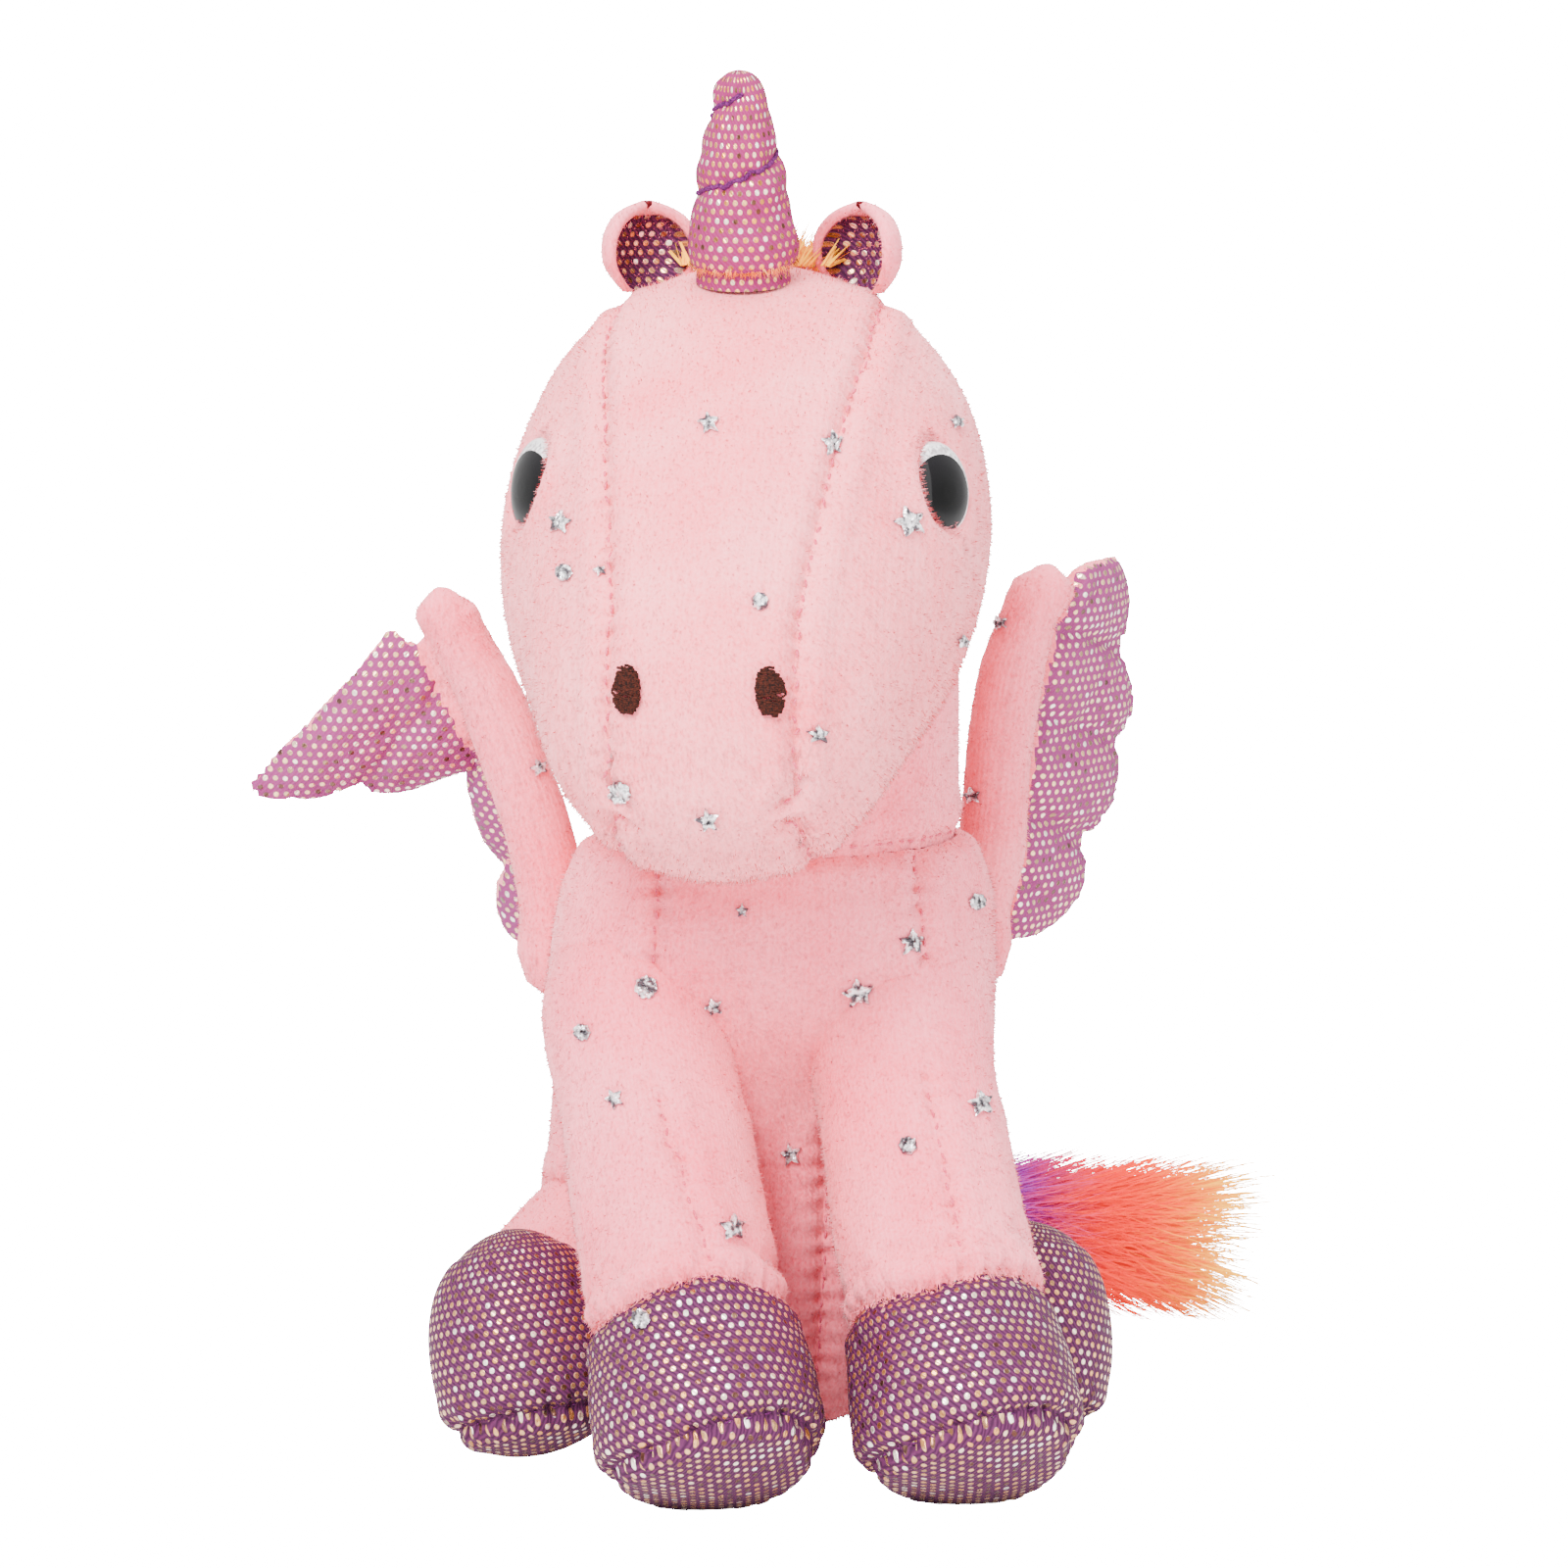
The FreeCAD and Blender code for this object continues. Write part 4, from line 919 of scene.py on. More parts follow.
def build_head():
    skin, panel, lines = head_skin()
    tree = surface(skin)
    centre = (panel == 0) | (panel == 2)
    for keep, *nodes in ((centre, "head_centre_panel", "head_stuffing"), (panel == 1, "head_left_panel"),
                         (panel == 3, "head_right_panel")):
        stand_for(take_faces(skin, nodes[0], keep), "pink_plush", "head", *nodes)
    pile("head_pile", skin, "head")
    stitches("head_seam_thread", lines, tree, "head", SEAM_THREAD)
    for label, _ in SIDES:
        build_eye(label)
        eye_fringe(label, tree)
        build_nostril(label, tree)
    foil_print("head_foil_print", HEAD_PRINTS, skin, tree, "head")
    build_horn()
    for label, side in SIDES:
        build_ear(label, side)
    discard(skin)


# ---- horn ----
def build_horn():
    """A padded cone drawn in by the thread wound round it, with a frayed base."""
    axis = FORWARD * math.sin(HORN_LEAN) + UP * math.cos(HORN_LEAN)
    base = joint_place("horn_wobble")
    obj, along, _ = turned_skin("horn_cover", base, axis, ((-3, 9.6),) + HORN_PROFILE, ORCHID_FOIL, 84, 72,
                                first=FORWARD)
    profile = np.array(HORN_PROFILE, float)
    a, b = basis(axis, FORWARD)
    t = np.linspace(0, THREAD_TURNS, 120)
    s = THREAD_START + THREAD_PITCH * t
    radius = np.interp(s, profile[:, 0], profile[:, 1])
    winding = base + axis * s[:, None] + spokes(a, b, 2 * math.pi * t + 0.6 * math.pi) * radius[:, None]
    tree = kd_tree(winding)
    distance = np.array([tree.find(Vector(p))[2] for p in mesh_points(obj)])
    inflate(obj, (distance < 0.9) | (along < 0.5), pressure=5, ease=0.0, most=1.0)
    pucker(obj, [winding], depth=1.1, width=1.6, pitch=5)
    stand_for(obj, "orchid_foil", "horn", "horn_cover", "horn_stuffing")
    cord("horn_thread", on_surface(surface(obj), winding)[0], 0.5, DARK_THREAD, "horn", "purple_thread",
         "horn_thread")
    edge = base + spokes(a, b, np.linspace(0, 2 * math.pi, 60)) * 10.8 + axis * 0.8
    fringe("horn_base_fray", edge, surface(obj), "horn", ORCHID_FOIL, -axis, length=2.2, per_mm=6)


def cord(name, points, radius, material, body, slot_name, *nodes):
    """A cord that follows a line of points."""
    around = 8
    along = unit(np.gradient(points, axis=0))
    side = unit(np.cross(along, UP + 0.01))
    ring = spokes(side[:, None], np.cross(side, along)[:, None], full_turn(around))
    twist = 1 + 0.12 * np.sin(np.arange(len(points)) * 1.3)
    verts = points[:, None] + ring * (radius * twist)[:, None, None]
    obj = add_mesh(name, verts.reshape(-1, 3), grid_faces(len(points), around, True), material)
    return stand_for(obj, slot_name, body, *nodes)


# ---- ears ----
def ear_wall(root, across, facing, height, inset, angles, name, material, top=1.0):
    """A sheet bent round the ear's hollow: angle 0 is the ear's back, and its edges come forward."""
    rows = 36
    v = np.linspace(0, top, rows)
    outline = curve_through(EAR_WIDTHS, 200)
    width = np.maximum(EAR_HALF_W * np.interp(v, outline[:, 0], outline[:, 1]) - inset, 0.05)
    level = EAR_BOTTOM + v * (height - EAR_BOTTOM - inset)
    sideways = width[:, None] * np.sin(angles)
    backward = width[:, None] * EAR_DEPTH * np.cos(angles) - EAR_LEAN * np.sin(math.pi * v)[:, None]
    points = root + across * sideways[..., None] - facing * backward[..., None] + UP * level[:, None, None]
    return add_mesh(name, points.reshape(-1, 3), grid_faces(rows, len(angles), False), material)


def build_ear(label, side):
    """A cup with a plush back and rolled rim, and a foil lining in its hollow; it faces the horn."""
    body = f"{label}_ear"
    root = joint_place(f"{label}_ear_fold")
    height = node_box(f"{label}_ear_outer")[1][2] - root[2]
    turn = math.radians(-38 * side - 12)
    facing = np.array([math.sin(turn), -math.cos(turn), 0])
    across = np.cross(UP, facing)
    angles = np.linspace(-EAR_WRAP, EAR_WRAP, 44)
    sheets = [ear_wall(root, across, facing, height, inset, angles, f"{label}_ear_sheet", PINK)
              for inset in (0.0, EAR_THICK)]
    outer, inner = [mesh_points(sheet).reshape(-1, len(angles), 3) for sheet in sheets]
    rims = [(outer[:, i:i + 1] + inner[:, i:i + 1]) / 2 + facing * 0.9 for i in (len(angles) - 1, 0)]
    loop = np.concatenate([outer, rims[0], inner[:, ::-1], rims[1]], axis=1)
    for sheet in sheets:
        discard(sheet)
    faces = grid_faces(len(loop), loop.shape[1], True)
    obj = outward(add_mesh(f"{label}_ear_outer", loop.reshape(-1, 3), faces, PINK))
    set_attribute(obj, "rib", (mesh_points(obj) - root) @ across)
    stand_for(obj, "pink_plush", body, f"{label}_ear_outer")
    lining = ear_wall(root, across, facing, height, EAR_THICK + 0.3, angles * 0.96,
                      f"{label}_ear_lining", PURPLE_FOIL, top=0.93)
    local = mesh_points(lining) - root
    set_plane(lining, np.column_stack([local @ across, local[:, 2]]))
    stand_for(lining, "purple_foil", body, f"{label}_ear_lining")
    pile(f"{label}_ear_pile", obj, body, length=1.1)


# ---- neck and torso ----


def ring_maker(shape):
    """A function that gives the points of one ring of a torso or neck at some angles."""
    def ring(angle, row):
        z, x, y, half_w, half_d = shape[row]
        level = np.full(len(angle), z)
        return np.column_stack([x + half_w * np.sin(angle), y - half_d * np.cos(angle), level])
    return ring


def torso_skin():
    """The torso's skin with a closed bottom and a column of vertices along each of its three seams."""
    shape = curve_through(np.array(TORSO_RINGS, float), 120)
    bottom = np.append(shape[0, :3], (0.5, 0.5))
    shape = np.vstack([bottom, shape])
    half = np.interp(shape[:, 0], (66, 96), (BELLY_HALF, CHEST_HALF))
    seam = np.arcsin(np.minimum(half / np.maximum(shape[:, 3], 1.0), 0.9))
    stops = np.stack([-seam, seam, np.full(len(seam), math.pi), 2 * math.pi - seam], axis=1)
    counts = (50, 78, 78)
    obj, panel = panelled_skin("torso_skin", ring_maker(shape), stops, counts, PINK, rib_r=42)
    columns = np.cumsum((0,) + counts[:-1])
    lines = [seam_line(obj, len(shape), sum(counts), c)[8:] for c in columns]
    push(obj, 1.0 * lumps(mesh_points(obj), 46, 11))
    return obj, panel, lines


TORSO_PRINTS = ((0.04, 0.86, 1.8, 0, 0), (0.26, 0.73, 2.3, 0, 0), (0.40, 0.70, 2.2, 20, 5),
                (0.70, 0.72, 3.7, 10, 5), (0.81, 0.80, 3.0, 0, 5), (0.46, 0.85, 1.6, 0, 5),
                (0.13, 0.66, 1.7, 0, 0), (0.20, 0.56, 2.2, 30, 5), (0.56, 0.46, 2.7, 12, 5),
                (0.95, 0.55, 3.0, 10, 5), (0.80, 0.49, 1.8, 0, 0), (0.44, 0.37, 2.8, 0, 5),
                (0.26, 0.24, 1.8, 0, 0), (0.95, 0.86, 1.7, 0, 0))


def neck_skin():
    """The neck's skin, and the line of the collar seam round its foot."""
    ring = ring_maker(curve_through(np.array(NECK_RINGS, float), NECK_ROWS))
    neck, _ = panelled_skin("neck_cover", ring, [(0, 2 * math.pi)] * NECK_ROWS, (170,), PINK, rib_r=40)
    collar = ring(np.append(full_turn(120), 0.0), COLLAR_ROW)
    push(neck, 0.7 * lumps(mesh_points(neck), 30, 5))
    return neck, collar


def build_body():
    torso, panel, lines = torso_skin()
    limbs = [build_front_leg(label, side, torso) for label, side in SIDES]
    limbs += [build_hind_leg(label, side, torso) for label, side in SIDES]
    junctions = [line for _, line in limbs[2:]]
    neck, collar = neck_skin()
    lines = [on_surface(surface(torso), line)[0] for line in lines]
    pucker(torso, lines + junctions + [collar], depth=1.8, width=1.6)
    pucker(neck, [collar], depth=1.3, width=1.6)
    panels = (("chest_belly_panel", "torso_stuffing"), ("torso_left_panel",), ("torso_right_panel",))
    for index, nodes in enumerate(panels):
        stand_for(take_faces(torso, nodes[0], panel == index), "pink_plush", "torso", *nodes)
    collar_at = joint_place("head_turn")
    twist = ("torso", "neck", collar_at, collar_at + UP * NECK_TWIST_H)
    stand_for(neck, "pink_plush", twist, "neck_cover", "neck_stuffing")
    pile("torso_pile", torso, "torso")
    pile("neck_pile", neck, twist)
    tree = surface(torso, *[leg for leg, _ in limbs[:2]])
    stitches("torso_seam_thread", lines + junctions, surface(torso), "torso", SEAM_THREAD)
    stitches("neck_seam_thread", [collar], surface(neck), "torso", SEAM_THREAD)
    foil_print("torso_foil_print", TORSO_PRINTS, torso, tree, "torso")
    for leg, _ in limbs:
        discard(leg)
    discard(torso)


def fillet(points, normals, other, reach, weight):
    """Swells a skin where it meets another one, so that the two run together without a crease."""
    found = [other.find_nearest(Vector(p)) for p in points]
    places, across = np.array([f[0] for f in found]), np.array([f[1] for f in found])
    distance = np.abs(((points - places) * across).sum(1))
    swell = reach / 4 * np.clip(1 - distance / reach, 0, 1) ** 2 * weight
    return points + unit(normals + across) * swell[:, None]


def run_together(limb, torso, pivot, side):
    """Softens the join of a front leg and the torso, except on the inside, where the gusset is sewn."""
    trees = {limb: surface(torso), torso: surface(limb)}
    shapes = {}
    for obj, other in trees.items():
        points = mesh_points(obj)
        local = points - pivot
        weight = np.clip(0.5 + side * local[:, 0] / 16 + local[:, 2] / 26, 0, 1)
        shapes[obj] = fillet(points, mesh_normals(obj), other, 17.0, weight)
    for obj, shape in shapes.items():
        set_points(obj, shape)


# ---- legs ----
HOOF_STITCH = {"spacing": 4.2, "length": 1.5, "radius": 0.22}


def where_it_leaves(points, torso_tree):
    """For each column of a limb's grid (rows, columns), the first place outside the torso."""
    rows, columns, _ = points.shape
    line = []
    for column in range(columns):
        for row in range(rows):
            p = Vector(points[row, column])
            place, normal, _, _ = torso_tree.find_nearest(p)
            if (p - place).dot(normal) > 0:
                line.append(points[row, column])
                break
    line.append(line[0])
    return np.array(line)


def lay_sole(piece, axis):
    """Lays the dot pattern on a sole by the distance from its middle, so that the dots keep their size."""
    right, ahead = basis(axis, (0, -1, 0))
    points = mesh_points(piece)
    offset = points - points[np.argmax(points @ axis)]
    flat = offset - axis * (offset @ axis)[:, None]
    reach = np.linalg.norm(offset, axis=1) / np.maximum(np.linalg.norm(flat, axis=1), 0.01)
    set_plane(piece, np.column_stack([flat @ right * reach, flat @ ahead * reach]))


def limb_piece(skin, label, keep, slot_name, material, follow, *names):
    """Cuts one sewn piece out of a limb's skin; the first name is the piece's own."""
    piece = take_faces(skin, f"{label}_{names[0]}", keep)
    piece.data.materials[0] = material
    return stand_for(piece, slot_name, follow, *[f"{label}_{n}" for n in names])


def ring_at(grid, row):
    """A closed line along one row of a limb's grid of points."""
    return np.vstack([grid[row], grid[row][:1]])


def front_leg_skin(label, side, pivot, axis):
    """The leg and its hoof as one padded skin; returns its seams too."""
    rows = 82
    skin, along, turn = turned_skin(f"{label}_leg_skin", pivot, axis, LEG_PROFILE, PINK, rows, LIMB_COLUMNS)
    levels = np.unique(along)
    ankle_row, sole_row = [np.argmin(abs(levels - at)) for at in (LEG_ANKLE, LEG_SOLE)]
    ankle, sole = levels[ankle_row], levels[sole_row]
    wave = 1.1 * np.sin(3 * turn + side) * np.exp(-((along - ankle) / 7) ** 2)
    wave = wave + 1.6 * np.sin(turn * 2 + 0.5) * np.exp(-((along - sole) / 5) ** 2)
    set_points(skin, mesh_points(skin) + axis * wave[:, None])
    inflate(skin, (along < 26) | (abs(along - ankle) < 0.9) | (abs(along - sole) < 0.9))
    grid = mesh_points(skin).reshape(rows, LIMB_COLUMNS, 3)
    rings = [ring_at(grid, row) for row in (ankle_row, sole_row)]
    shift = np.linspace(*FRONT_SEAM_SHIFT[label], ankle_row - LEG_SEAM_ROW) / LEG_R
    column = np.round(-shift / (2 * math.pi) * LIMB_COLUMNS).astype(int) % LIMB_COLUMNS
    front = grid[np.arange(LEG_SEAM_ROW, ankle_row), column]
    return skin, ankle, sole, rings, front


def build_front_leg(label, side, torso):
    pivot = joint_place(f"{label}_front_leg_swing")
    axis = unit(node_points(f"{label}_front_hoof_sole").mean(0) - pivot)
    skin, ankle, sole, rings, front = front_leg_skin(label, side, pivot, axis)
    push(skin, 0.5 * lumps(mesh_points(skin), 24, 17 + side))
    soften(skin)
    pucker(skin, rings, depth=1.5, width=1.5)
    run_together(skin, torso, pivot, side)
    pucker(skin, [front], depth=1.4, width=1.4)
    part, offset = face_values(skin, "part"), face_centres(skin) - pivot
    outside = np.array([side, 0, 0])
    outer = offset @ outside - (offset @ axis) * (axis @ outside) > 0
    body = f"{label}_front_leg"
    bend = ("torso", body, pivot + axis * LEG_BEND[0], pivot + axis * LEG_BEND[1])
    limb_piece(skin, label, (part < ankle) & outer, "pink_plush", PINK, bend,
               "front_leg_outer_panel", "front_leg_stuffing")
    limb_piece(skin, label, (part < ankle) & ~outer, "pink_plush", PINK, bend, "front_leg_inner_panel")
    limb_piece(skin, label, (part > ankle) & (part < sole), "purple_foil", PURPLE_FOIL, body,
               "front_hoof_cover")
    lay_sole(limb_piece(skin, label, part > sole, "purple_foil", PURPLE_FOIL, body, "front_hoof_sole"), axis)
    tree = surface(skin)
    front = on_surface(tree, front)[0]
    plush_part = take_faces(skin, f"{label}_leg_plush", part < ankle)
    pile(f"{label}_front_leg_pile", plush_part, bend)
    discard(plush_part)
    stitches(f"{label}_front_leg_thread", [front], tree, bend, SEAM_THREAD)
    stitches(f"{label}_front_hoof_thread", rings[1:], tree, body, DARK_THREAD, **HOOF_STITCH)
    fringe(f"{label}_front_ankle_pile", rings[0], tree, body, PINK, axis * 0.9, length=3.0, per_mm=7,
           spread=1.8)
    return skin, front


def build_hind_hoof(label, side, pivot, axis, body):
    """The boot-shaped hoof; returns the place where its top starts."""
    sole_points = node_points(f"{label}_hind_hoof_sole")
    tip = ((sole_points - pivot) @ axis).max()
    centre = sole_points.mean(0)
    top = centre - axis * ((centre - pivot) @ axis - tip + HIND_PROFILE[-1][0])
    rows = 52
    skin, along, _ = turned_skin(f"{label}_boot_skin", top, axis, HIND_PROFILE, PURPLE_FOIL, rows,
                                 LIMB_COLUMNS)
    levels = np.unique(along)
    sole_row = np.argmin(abs(levels - HIND_SOLE))
    sole = levels[sole_row]
    inflate(skin, (along < 2) | (abs(along - sole) < 0.8))
    ring = ring_at(mesh_points(skin).reshape(rows, LIMB_COLUMNS, 3), sole_row)
    push(skin, 0.5 * lumps(mesh_points(skin), 22, 29 + side))
    soften(skin)
    pucker(skin, [ring], depth=1.5, width=1.5)
    part = face_values(skin, "part")
    limb_piece(skin, label, part < sole, "purple_foil", PURPLE_FOIL, body, "hind_hoof_cover")
    lay_sole(limb_piece(skin, label, part > sole, "purple_foil", PURPLE_FOIL, body, "hind_hoof_sole"), axis)
    stitches(f"{label}_hind_hoof_thread", [ring], surface(skin), body, DARK_THREAD, **HOOF_STITCH)
    discard(skin)
    return top


def build_hind_leg(label, side, torso):
    pivot = joint_place(f"{label}_hind_leg_splay")
    axis = unit(HIND_AXIS * np.array([side, 1, 1]))
    body = f"{label}_hind_leg"
    top = build_hind_hoof(label, side, pivot, axis, body)
    ankle = top + axis * 16 + np.array([-side * 4.0, 10.0, 0])
    length = np.linalg.norm(ankle - pivot)
    thigh_axis = unit(ankle - pivot)
    profile = ((-14, 9.5), (-8, 15), (0, THIGH_R), (length / 2, THIGH_R + 0.4), (length, THIGH_R),
               (length + 9, 14.5))
    thigh, _, _ = turned_skin(f"{label}_hind_leg_cover", pivot, thigh_axis, profile, PINK, THIGH_ROWS,
                              LIMB_COLUMNS, first=UP)
    grid = mesh_points(thigh).reshape(THIGH_ROWS, LIMB_COLUMNS, 3)
    leaves = where_it_leaves(grid, surface(torso))
    push(thigh, 0.5 * lumps(mesh_points(thigh), 24, 31 + side))
    bend = ("torso", body, pivot, pivot + thigh_axis * THIGH_BEND)
    shadow = take_faces(thigh, f"{label}_thigh_copy", np.ones(len(thigh.data.polygons), bool))
    pile(f"{label}_hind_leg_pile", shadow, bend)
    stand_for(thigh, "pink_plush", bend, f"{label}_hind_leg_cover", f"{label}_hind_leg_stuffing")
    return shadow, leaves


# ---- wings ----
def sections(name, count):
    """Middle of a node's outline at even heights, bottom first."""
    obj = frame["nodes"][name]
    points = node_points(name)
    edges = np.array([e.vertices[:] for e in obj.data.edges])
    a, b = points[edges[:, 0]], points[edges[:, 1]]
    low, high = points[:, 2].min(), points[:, 2].max()
    middles = []
    for level in np.linspace(low + 0.02 * (high - low), high - 0.04 * (high - low), count):
        crossing = (a[:, 2] - level) * (b[:, 2] - level) < 0
        share = (level - a[crossing, 2]) / (b[crossing, 2] - a[crossing, 2])
        at = a[crossing] + (b[crossing] - a[crossing]) * share[:, None]
        middles.append((at.min(0) + at.max(0)) / 2)
    return np.array(middles)


def copy_of_nodes(name, nodes, grain, material):
    """One closed skin over several CAD nodes, with an even mesh."""
    verts, faces = [], []
    for node in nodes:
        start = sum(len(v) for v in verts)
        verts.append(node_points(node))
        faces += [tuple(start + i for i in f.vertices) for f in frame["nodes"][node].data.polygons]
    obj = add_mesh(name, np.vstack(verts), faces, material)
    remesh = obj.modifiers.new("remesh", "REMESH")
    remesh.mode, remesh.voxel_size = "VOXEL", grain * MM
    obj.modifiers.new("relax", "SMOOTH").iterations = 6
    shape = obj.evaluated_get(bpy.context.evaluated_depsgraph_get())
    mesh = bpy.data.meshes.new_from_object(shape)
    obj.modifiers.clear()
    obj.data = mesh
    mesh.polygons.foreach_set("use_smooth", [True] * len(mesh.polygons))
    return outward(obj)


def thickness_of(skin):
    """How thick a closed skin is at each of its vertices, measured straight through."""
    tree = surface(skin)
    thickest = 9.0
    thickness = []
    for p, n in zip(mesh_points(skin), mesh_normals(skin)):
        distance = tree.ray_cast(Vector(p - n * 0.05), Vector(-n))[3]
        thickness.append(distance or thickest)
    return np.array(thickness)


def build_wing(label, side):
    """Three quilted feathers: foil cloth in front and plush behind, beside the stuffed band."""
    body = f"{label}_wing"
    layers = [f"{label}_wing_{layer}" for layer in ("front_panel", "padding", "back_panel")]
    skin = copy_of_nodes(f"{label}_wing_skin", layers + [f"{label}_wing_band"], 1.5, WING_FOIL)
    band = kd_tree(curve_through(sections(f"{label}_wing_band", 9), 60))
    points = mesh_points(skin)
    from_band = np.array([band.find(Vector(p))[2] for p in points])
    _, _, axes = np.linalg.svd(points - points.mean(0), full_matrices=False)
    facing = axes[2] * -np.sign(axes[2][1])
    across = unit(np.cross(facing, UP))
    rise = np.cross(across, facing)
    thickness = thickness_of(skin)
    inflate(skin, (thickness < WING_SEAM_THICK) | (from_band < WING_BAND_WIDTH), pressure=4.5, most=1.8)
    valley = 0.5 - 1.0 * np.exp(-((thickness - 2.4) / 1.0) ** 2)
    push(skin, np.where(from_band < WING_BAND_WIDTH, -1.0, valley))
    points = mesh_points(skin)
    set_plane(skin, np.column_stack([points @ across, points @ rise]))
    set_attribute(skin, "rib", points @ across)
    faces = skin.data.polygons
    clear = np.array([min(from_band[list(f.vertices)]) for f in faces]) > WING_BAND_WIDTH
    ahead = clear & (np.array([f.normal @ Vector(facing) for f in faces]) > 0.3)
    front = take_faces(skin, f"{label}_wing_front_panel", ahead)
    stand_for(front, "purple_foil", body, f"{label}_wing_front_panel", f"{label}_wing_padding")
    back = take_faces(skin, f"{label}_wing_back_panel", ~ahead)
    back.data.materials[0] = PINK
    stand_for(back, "pink_plush", body, f"{label}_wing_back_panel")
    pile(f"{label}_wing_back_pile", back, body)
    discard(skin)
    build_wing_band(label, side, body)


def build_wing_band(label, side, body):
    """The stuffed plush edge: a tube that narrows to a rounded tip, seamed on its inner side."""
    columns, seam_shift = 48, 8
    path = curve_through(sections(f"{label}_wing_band", 9), 90)
    into_torso = np.array([-side * 12, 2, -9])
    path = np.vstack([path[0] + into_torso * t for t in (1, 0.75, 0.5, 0.25)] + [path])
    share = np.linspace(0, 1, len(path))
    tip = np.sqrt(np.clip((1.005 - share) / 0.05, 0, 1))
    radius = np.interp(share, (0, 0.75, 1), (7.4, 6.8, 5.0)) * tip
    along = unit(np.gradient(path, axis=0))
    front = unit(np.cross(np.cross(along, [0, -1.0, 0]), along))
    angle = full_turn(columns)
    ring = spokes(front[:, None], np.cross(along, front)[:, None], angle)
    verts = path[:, None] + ring * np.maximum(radius, 0.1)[:, None, None]
    faces = grid_faces(len(path), columns, True)
    skin = outward(add_mesh(f"{label}_wing_band", verts.reshape(-1, 3), faces, PINK))
    set_attribute(skin, "rib", np.tile(angle, len(path)) * 7)
    push(skin, 0.45 * lumps(mesh_points(skin), 17, 41 + side))
    outer = np.argmax((ring[40] * side)[:, 0])
    seam_column = (outer + columns // 2 - seam_shift * side) % columns
    line = mesh_points(skin).reshape(len(path), columns, 3)[4:-4, seam_column]
    pucker(skin, [line], depth=1.0, width=1.2)
    tree = surface(skin)
    stand_for(skin, "pink_plush", body, f"{label}_wing_band")
    pile(f"{label}_wing_band_pile", skin, body)
    stitches(f"{label}_wing_seam_thread", [line], tree, body, SEAM_THREAD)
    foil_print(f"{label}_wing_foil_print", WING_PRINTS[label], skin, tree, body)


WING_PRINTS = {"left": ((0.62, 0.88, 1.8, 15, 5), (0.45, 0.50, 2.0, 10, 5)),
               "right": ((0.55, 0.60, 2.0, 20, 5), (0.75, 0.36, 1.5, 0, 0))}


# ---- mane and tail ----
FUR_STEPS = 7
FUR_PLACE = np.linspace(0, 1, FUR_STEPS)[None, :, None]


def build_crown():
    """Brushed fur over the crown, yellow in front and purple at the back."""
    count = 8000
    around = RNG.uniform(CROWN_FRONT, CROWN_BACK, count)
    lateral = RNG.normal(0, 7.5, count).clip(-15, 15)
    rise, back = np.cos(around)[:, None], np.sin(around)[:, None]
    out = FORWARD * -back + UP * rise
    roots = SKULL + out * CROWN_R + SIDEWAYS * lateral[:, None]
    lay = -FORWARD * rise - UP * back
    length = RNG.uniform(9, 14, count)
    wild = RNG.normal(size=(count, 3)) * 0.16
    fling = unit(out * 0.6 + lay * 0.6 + SIDEWAYS * (lateral / 40)[:, None] + wild)
    straight = fling[:, None] * length[:, None, None] * FUR_PLACE
    droop = lay[:, None] * (length * 0.35)[:, None, None] * FUR_PLACE ** 2
    share = np.clip(1.0 - around / CROWN_BACK, 0, 1)[:, None] + RNG.normal(size=(count, 1)) * 0.04
    colours = rainbow(share + np.zeros((1, FUR_STEPS)))
    paths = roots[:, None] + straight + droop
    obj = locks("mane_crown", paths, RNG.uniform(0.5, 0.9, count), colours)
    stand_for(obj, "rainbow_fur", "head", "mane_crown")


def build_neck_mane():
    """The fur's purple end, down the back of the neck."""
    count = 3600
    low, high = node_box("mane_neck")
    middle, half = (low[0] + high[0]) / 2, (high[0] - low[0]) / 2
    roots = np.column_stack([middle + RNG.normal(0, 0.6 * half, count).clip(-1.2 * half, 1.2 * half),
                             np.full(count, high[1] - MANE_THICK),
                             RNG.uniform(low[2], high[2] + MANE_THICK, count)])
    fling = unit(np.array([0, 0.75, -0.8]) + RNG.normal(size=(count, 3)) * 0.25)
    paths = roots[:, None] + fling[:, None] * RNG.uniform(8, 14, count)[:, None, None] * FUR_PLACE
    share = np.clip((roots[:, 2] - low[2]) / (high[2] - low[2]) * 0.25, 0, 1)[:, None]
    colours = rainbow(share + np.zeros((1, FUR_STEPS)))
    obj = locks("mane_neck", paths, RNG.uniform(0.35, 0.7, count), colours)
    stand_for(obj, "rainbow_fur", "neck", "mane_neck")


def tail_path(count):
    """The middle of the tail, from its root along the ground to its tip."""
    root = joint_place("tail_wag")
    low, high = node_box("tail_fur")
    middle = (low + high) / 2
    end = np.array([high[0], middle[1], middle[2]])
    stops = [root, (root + middle) / 2 + [8, 6, -2], middle + [8, 0, 0], end + [-14, -6, -2],
             end + [6, -10, -4]]
    return curve_through(stops, count)


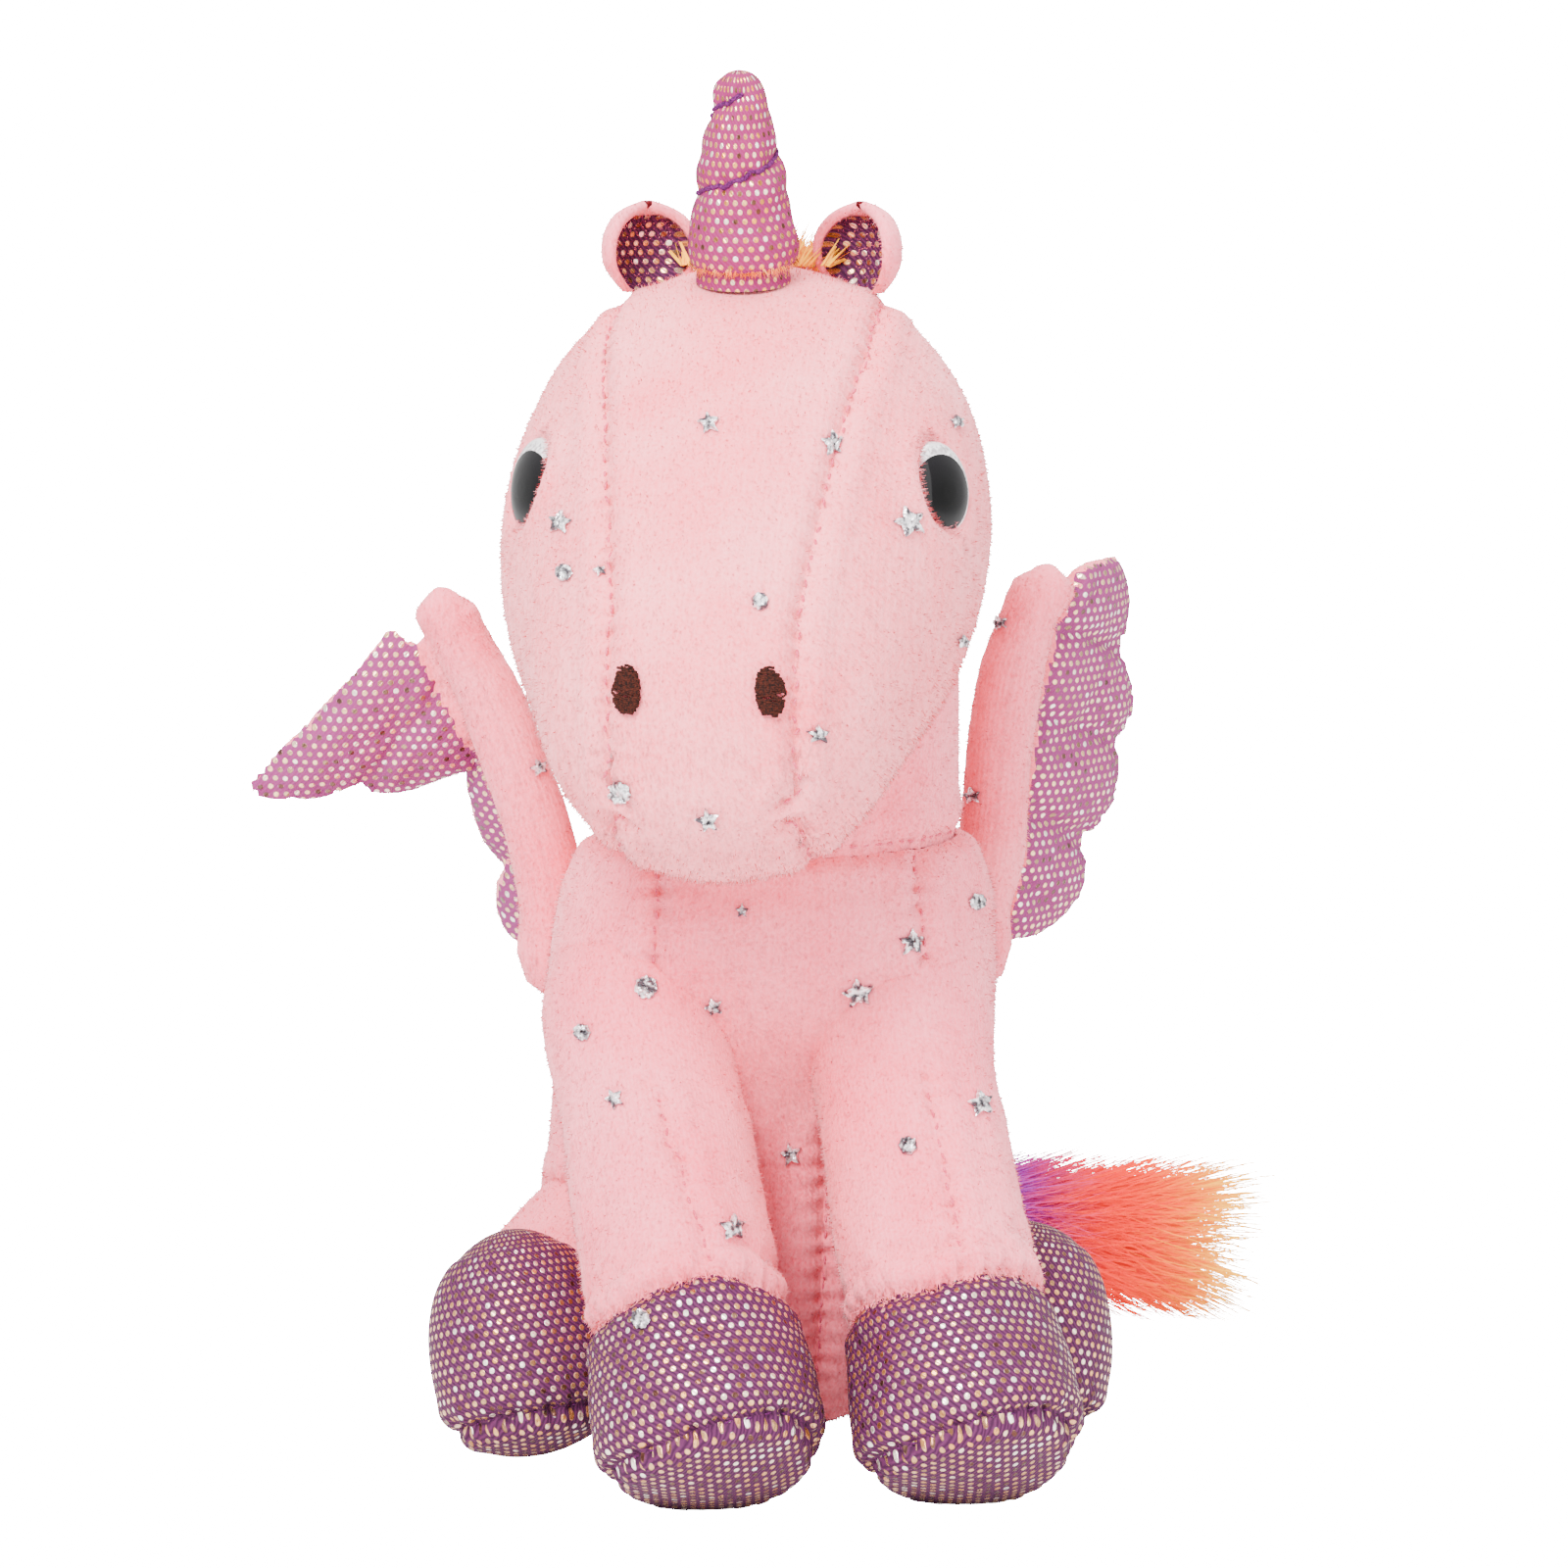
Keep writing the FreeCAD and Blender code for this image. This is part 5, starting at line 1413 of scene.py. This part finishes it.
def build_tail():
    """A sheaf of long rainbow fur that lies on the ground, brushed outward from its root."""
    count, steps, stations = 9500, 9, 60
    path = tail_path(stations)
    share_at = np.linspace(0, 1, stations)
    half = np.interp(share_at, *zip(*TAIL_RADII))
    along = unit(np.gradient(path, axis=0))
    side = unit(np.cross(along, UP))
    start = RNG.beta(1.2, 1.2, count) * 0.76
    reach = RNG.uniform(0.14, 0.24, count)
    angle = RNG.uniform(0, 2 * math.pi, count)
    depth = np.sqrt(RNG.uniform(0.15, 1, count))
    curl = RNG.normal(0, 1.3, (count, 1))
    t = np.linspace(0, 1, steps)[None]
    place = start[:, None] + reach[:, None] * t
    spread = (0.35 + 0.65 * t ** 0.6) * depth[:, None] * np.interp(place, share_at, half)
    guides = (path, side, np.cross(side, along))
    centre, right, above = [interp_rows(place, share_at, rows) for rows in guides]
    swing = angle[:, None] + curl * t * 0.25
    sideways, upward = spread * np.cos(swing), spread * np.sin(swing)
    paths = centre + right * sideways[..., None] + above * upward[..., None]
    paths += RNG.normal(size=(count, 1, 3)) * 0.5 + np.sin(t * 6 + angle[:, None])[..., None] * 0.5
    paths[..., 2] = np.maximum(paths[..., 2], 0.6 + RNG.uniform(0, 1, (count, 1)))
    widths = RNG.uniform(0.4, 0.8, count)
    share = (place - TAIL_COLOUR_FROM) / TAIL_COLOUR_SPAN + RNG.normal(size=(count, 1)) * 0.05
    obj = locks("tail_fur", paths, widths, rainbow(share))
    stand_for(obj, "rainbow_fur", "tail", "tail_fur", "tail_core")


# ---- studio ----
FLOOR_HALF = 3000.0
SKY_ON_TOY, SKY_SEEN, FLOOR_GLOW = 1.35, 40.0, 40.0
# lamps: (name, place, size, power)
LAMPS = (("key", (-450, -900, 950), 520, 42.0), ("fill", (800, -700, 500), 900, 9.0),
         ("top", (0, 100, 1100), 900, 16.0))
LAMP_AIM = Vector((0, 0, 130 * MM))
CAMERA_AIM, CAMERA_DISTANCE = Vector((5.98, -0.52, 136.9)), 1100
LENS, SENSOR = 120.7, 36.0


def studio_white():
    """A pale floor that the camera sees nearly as white as the background."""
    s = Shader("studio_white", Roughness=0.7)
    s.surface.inputs["Base Color"].default_value = linear(250, 250, 250)
    s.surface.inputs["Emission Color"].default_value = (1, 1, 1, 1)
    s.feed("Emission Strength", s.math("MULTIPLY", s.node("ShaderNodeLightPath", 0), FLOOR_GLOW))
    return s.material


def build_studio():
    corners = [(x * FLOOR_HALF, y * FLOOR_HALF, 0) for x, y in ((-1, -1), (1, -1), (1, 1), (-1, 1))]
    floor = add_mesh("studio_floor", corners, [(0, 1, 2, 3)], studio_white())
    world = bpy.data.worlds.new("studio_world")
    world.use_nodes = True
    background = world.node_tree.nodes["Background"]
    background.inputs["Color"].default_value = (1, 1, 1, 1)
    seen = world.node_tree.nodes.new("ShaderNodeLightPath").outputs["Is Camera Ray"]
    strength = world.node_tree.nodes.new("ShaderNodeMapRange")
    strength.inputs["To Min"].default_value, strength.inputs["To Max"].default_value = SKY_ON_TOY, SKY_SEEN
    world.node_tree.links.new(seen, strength.inputs["Value"])
    world.node_tree.links.new(strength.outputs["Result"], background.inputs["Strength"])
    bpy.context.scene.world = world
    for name, place, size, power in LAMPS:
        light = bpy.data.lights.new(name, "AREA")
        light.size, light.energy = size * MM, power
        lamp = bpy.data.objects.new(name, light)
        lamp.location = Vector(place) * MM
        aim = LAMP_AIM - lamp.location
        lamp.rotation_euler = aim.to_track_quat("-Z", "Y").to_euler()
        bpy.context.scene.collection.objects.link(lamp)


def build_camera():
    away = Vector(VIEW_FROM)
    lens = bpy.data.cameras.new("camera")
    lens.sensor_width, lens.lens = SENSOR, LENS
    camera = bpy.data.objects.new("camera", lens)
    camera.location = (CAMERA_AIM + away * CAMERA_DISTANCE) * MM
    camera.rotation_euler = (-away).to_track_quat("-Z", "Y").to_euler()
    bpy.context.scene.collection.objects.link(camera)
    bpy.context.scene.camera = camera


build_head()
build_body()
for wing_label, wing_side in SIDES:
    build_wing(wing_label, wing_side)
build_crown()
build_neck_mane()
build_tail()
build_studio()
build_camera()
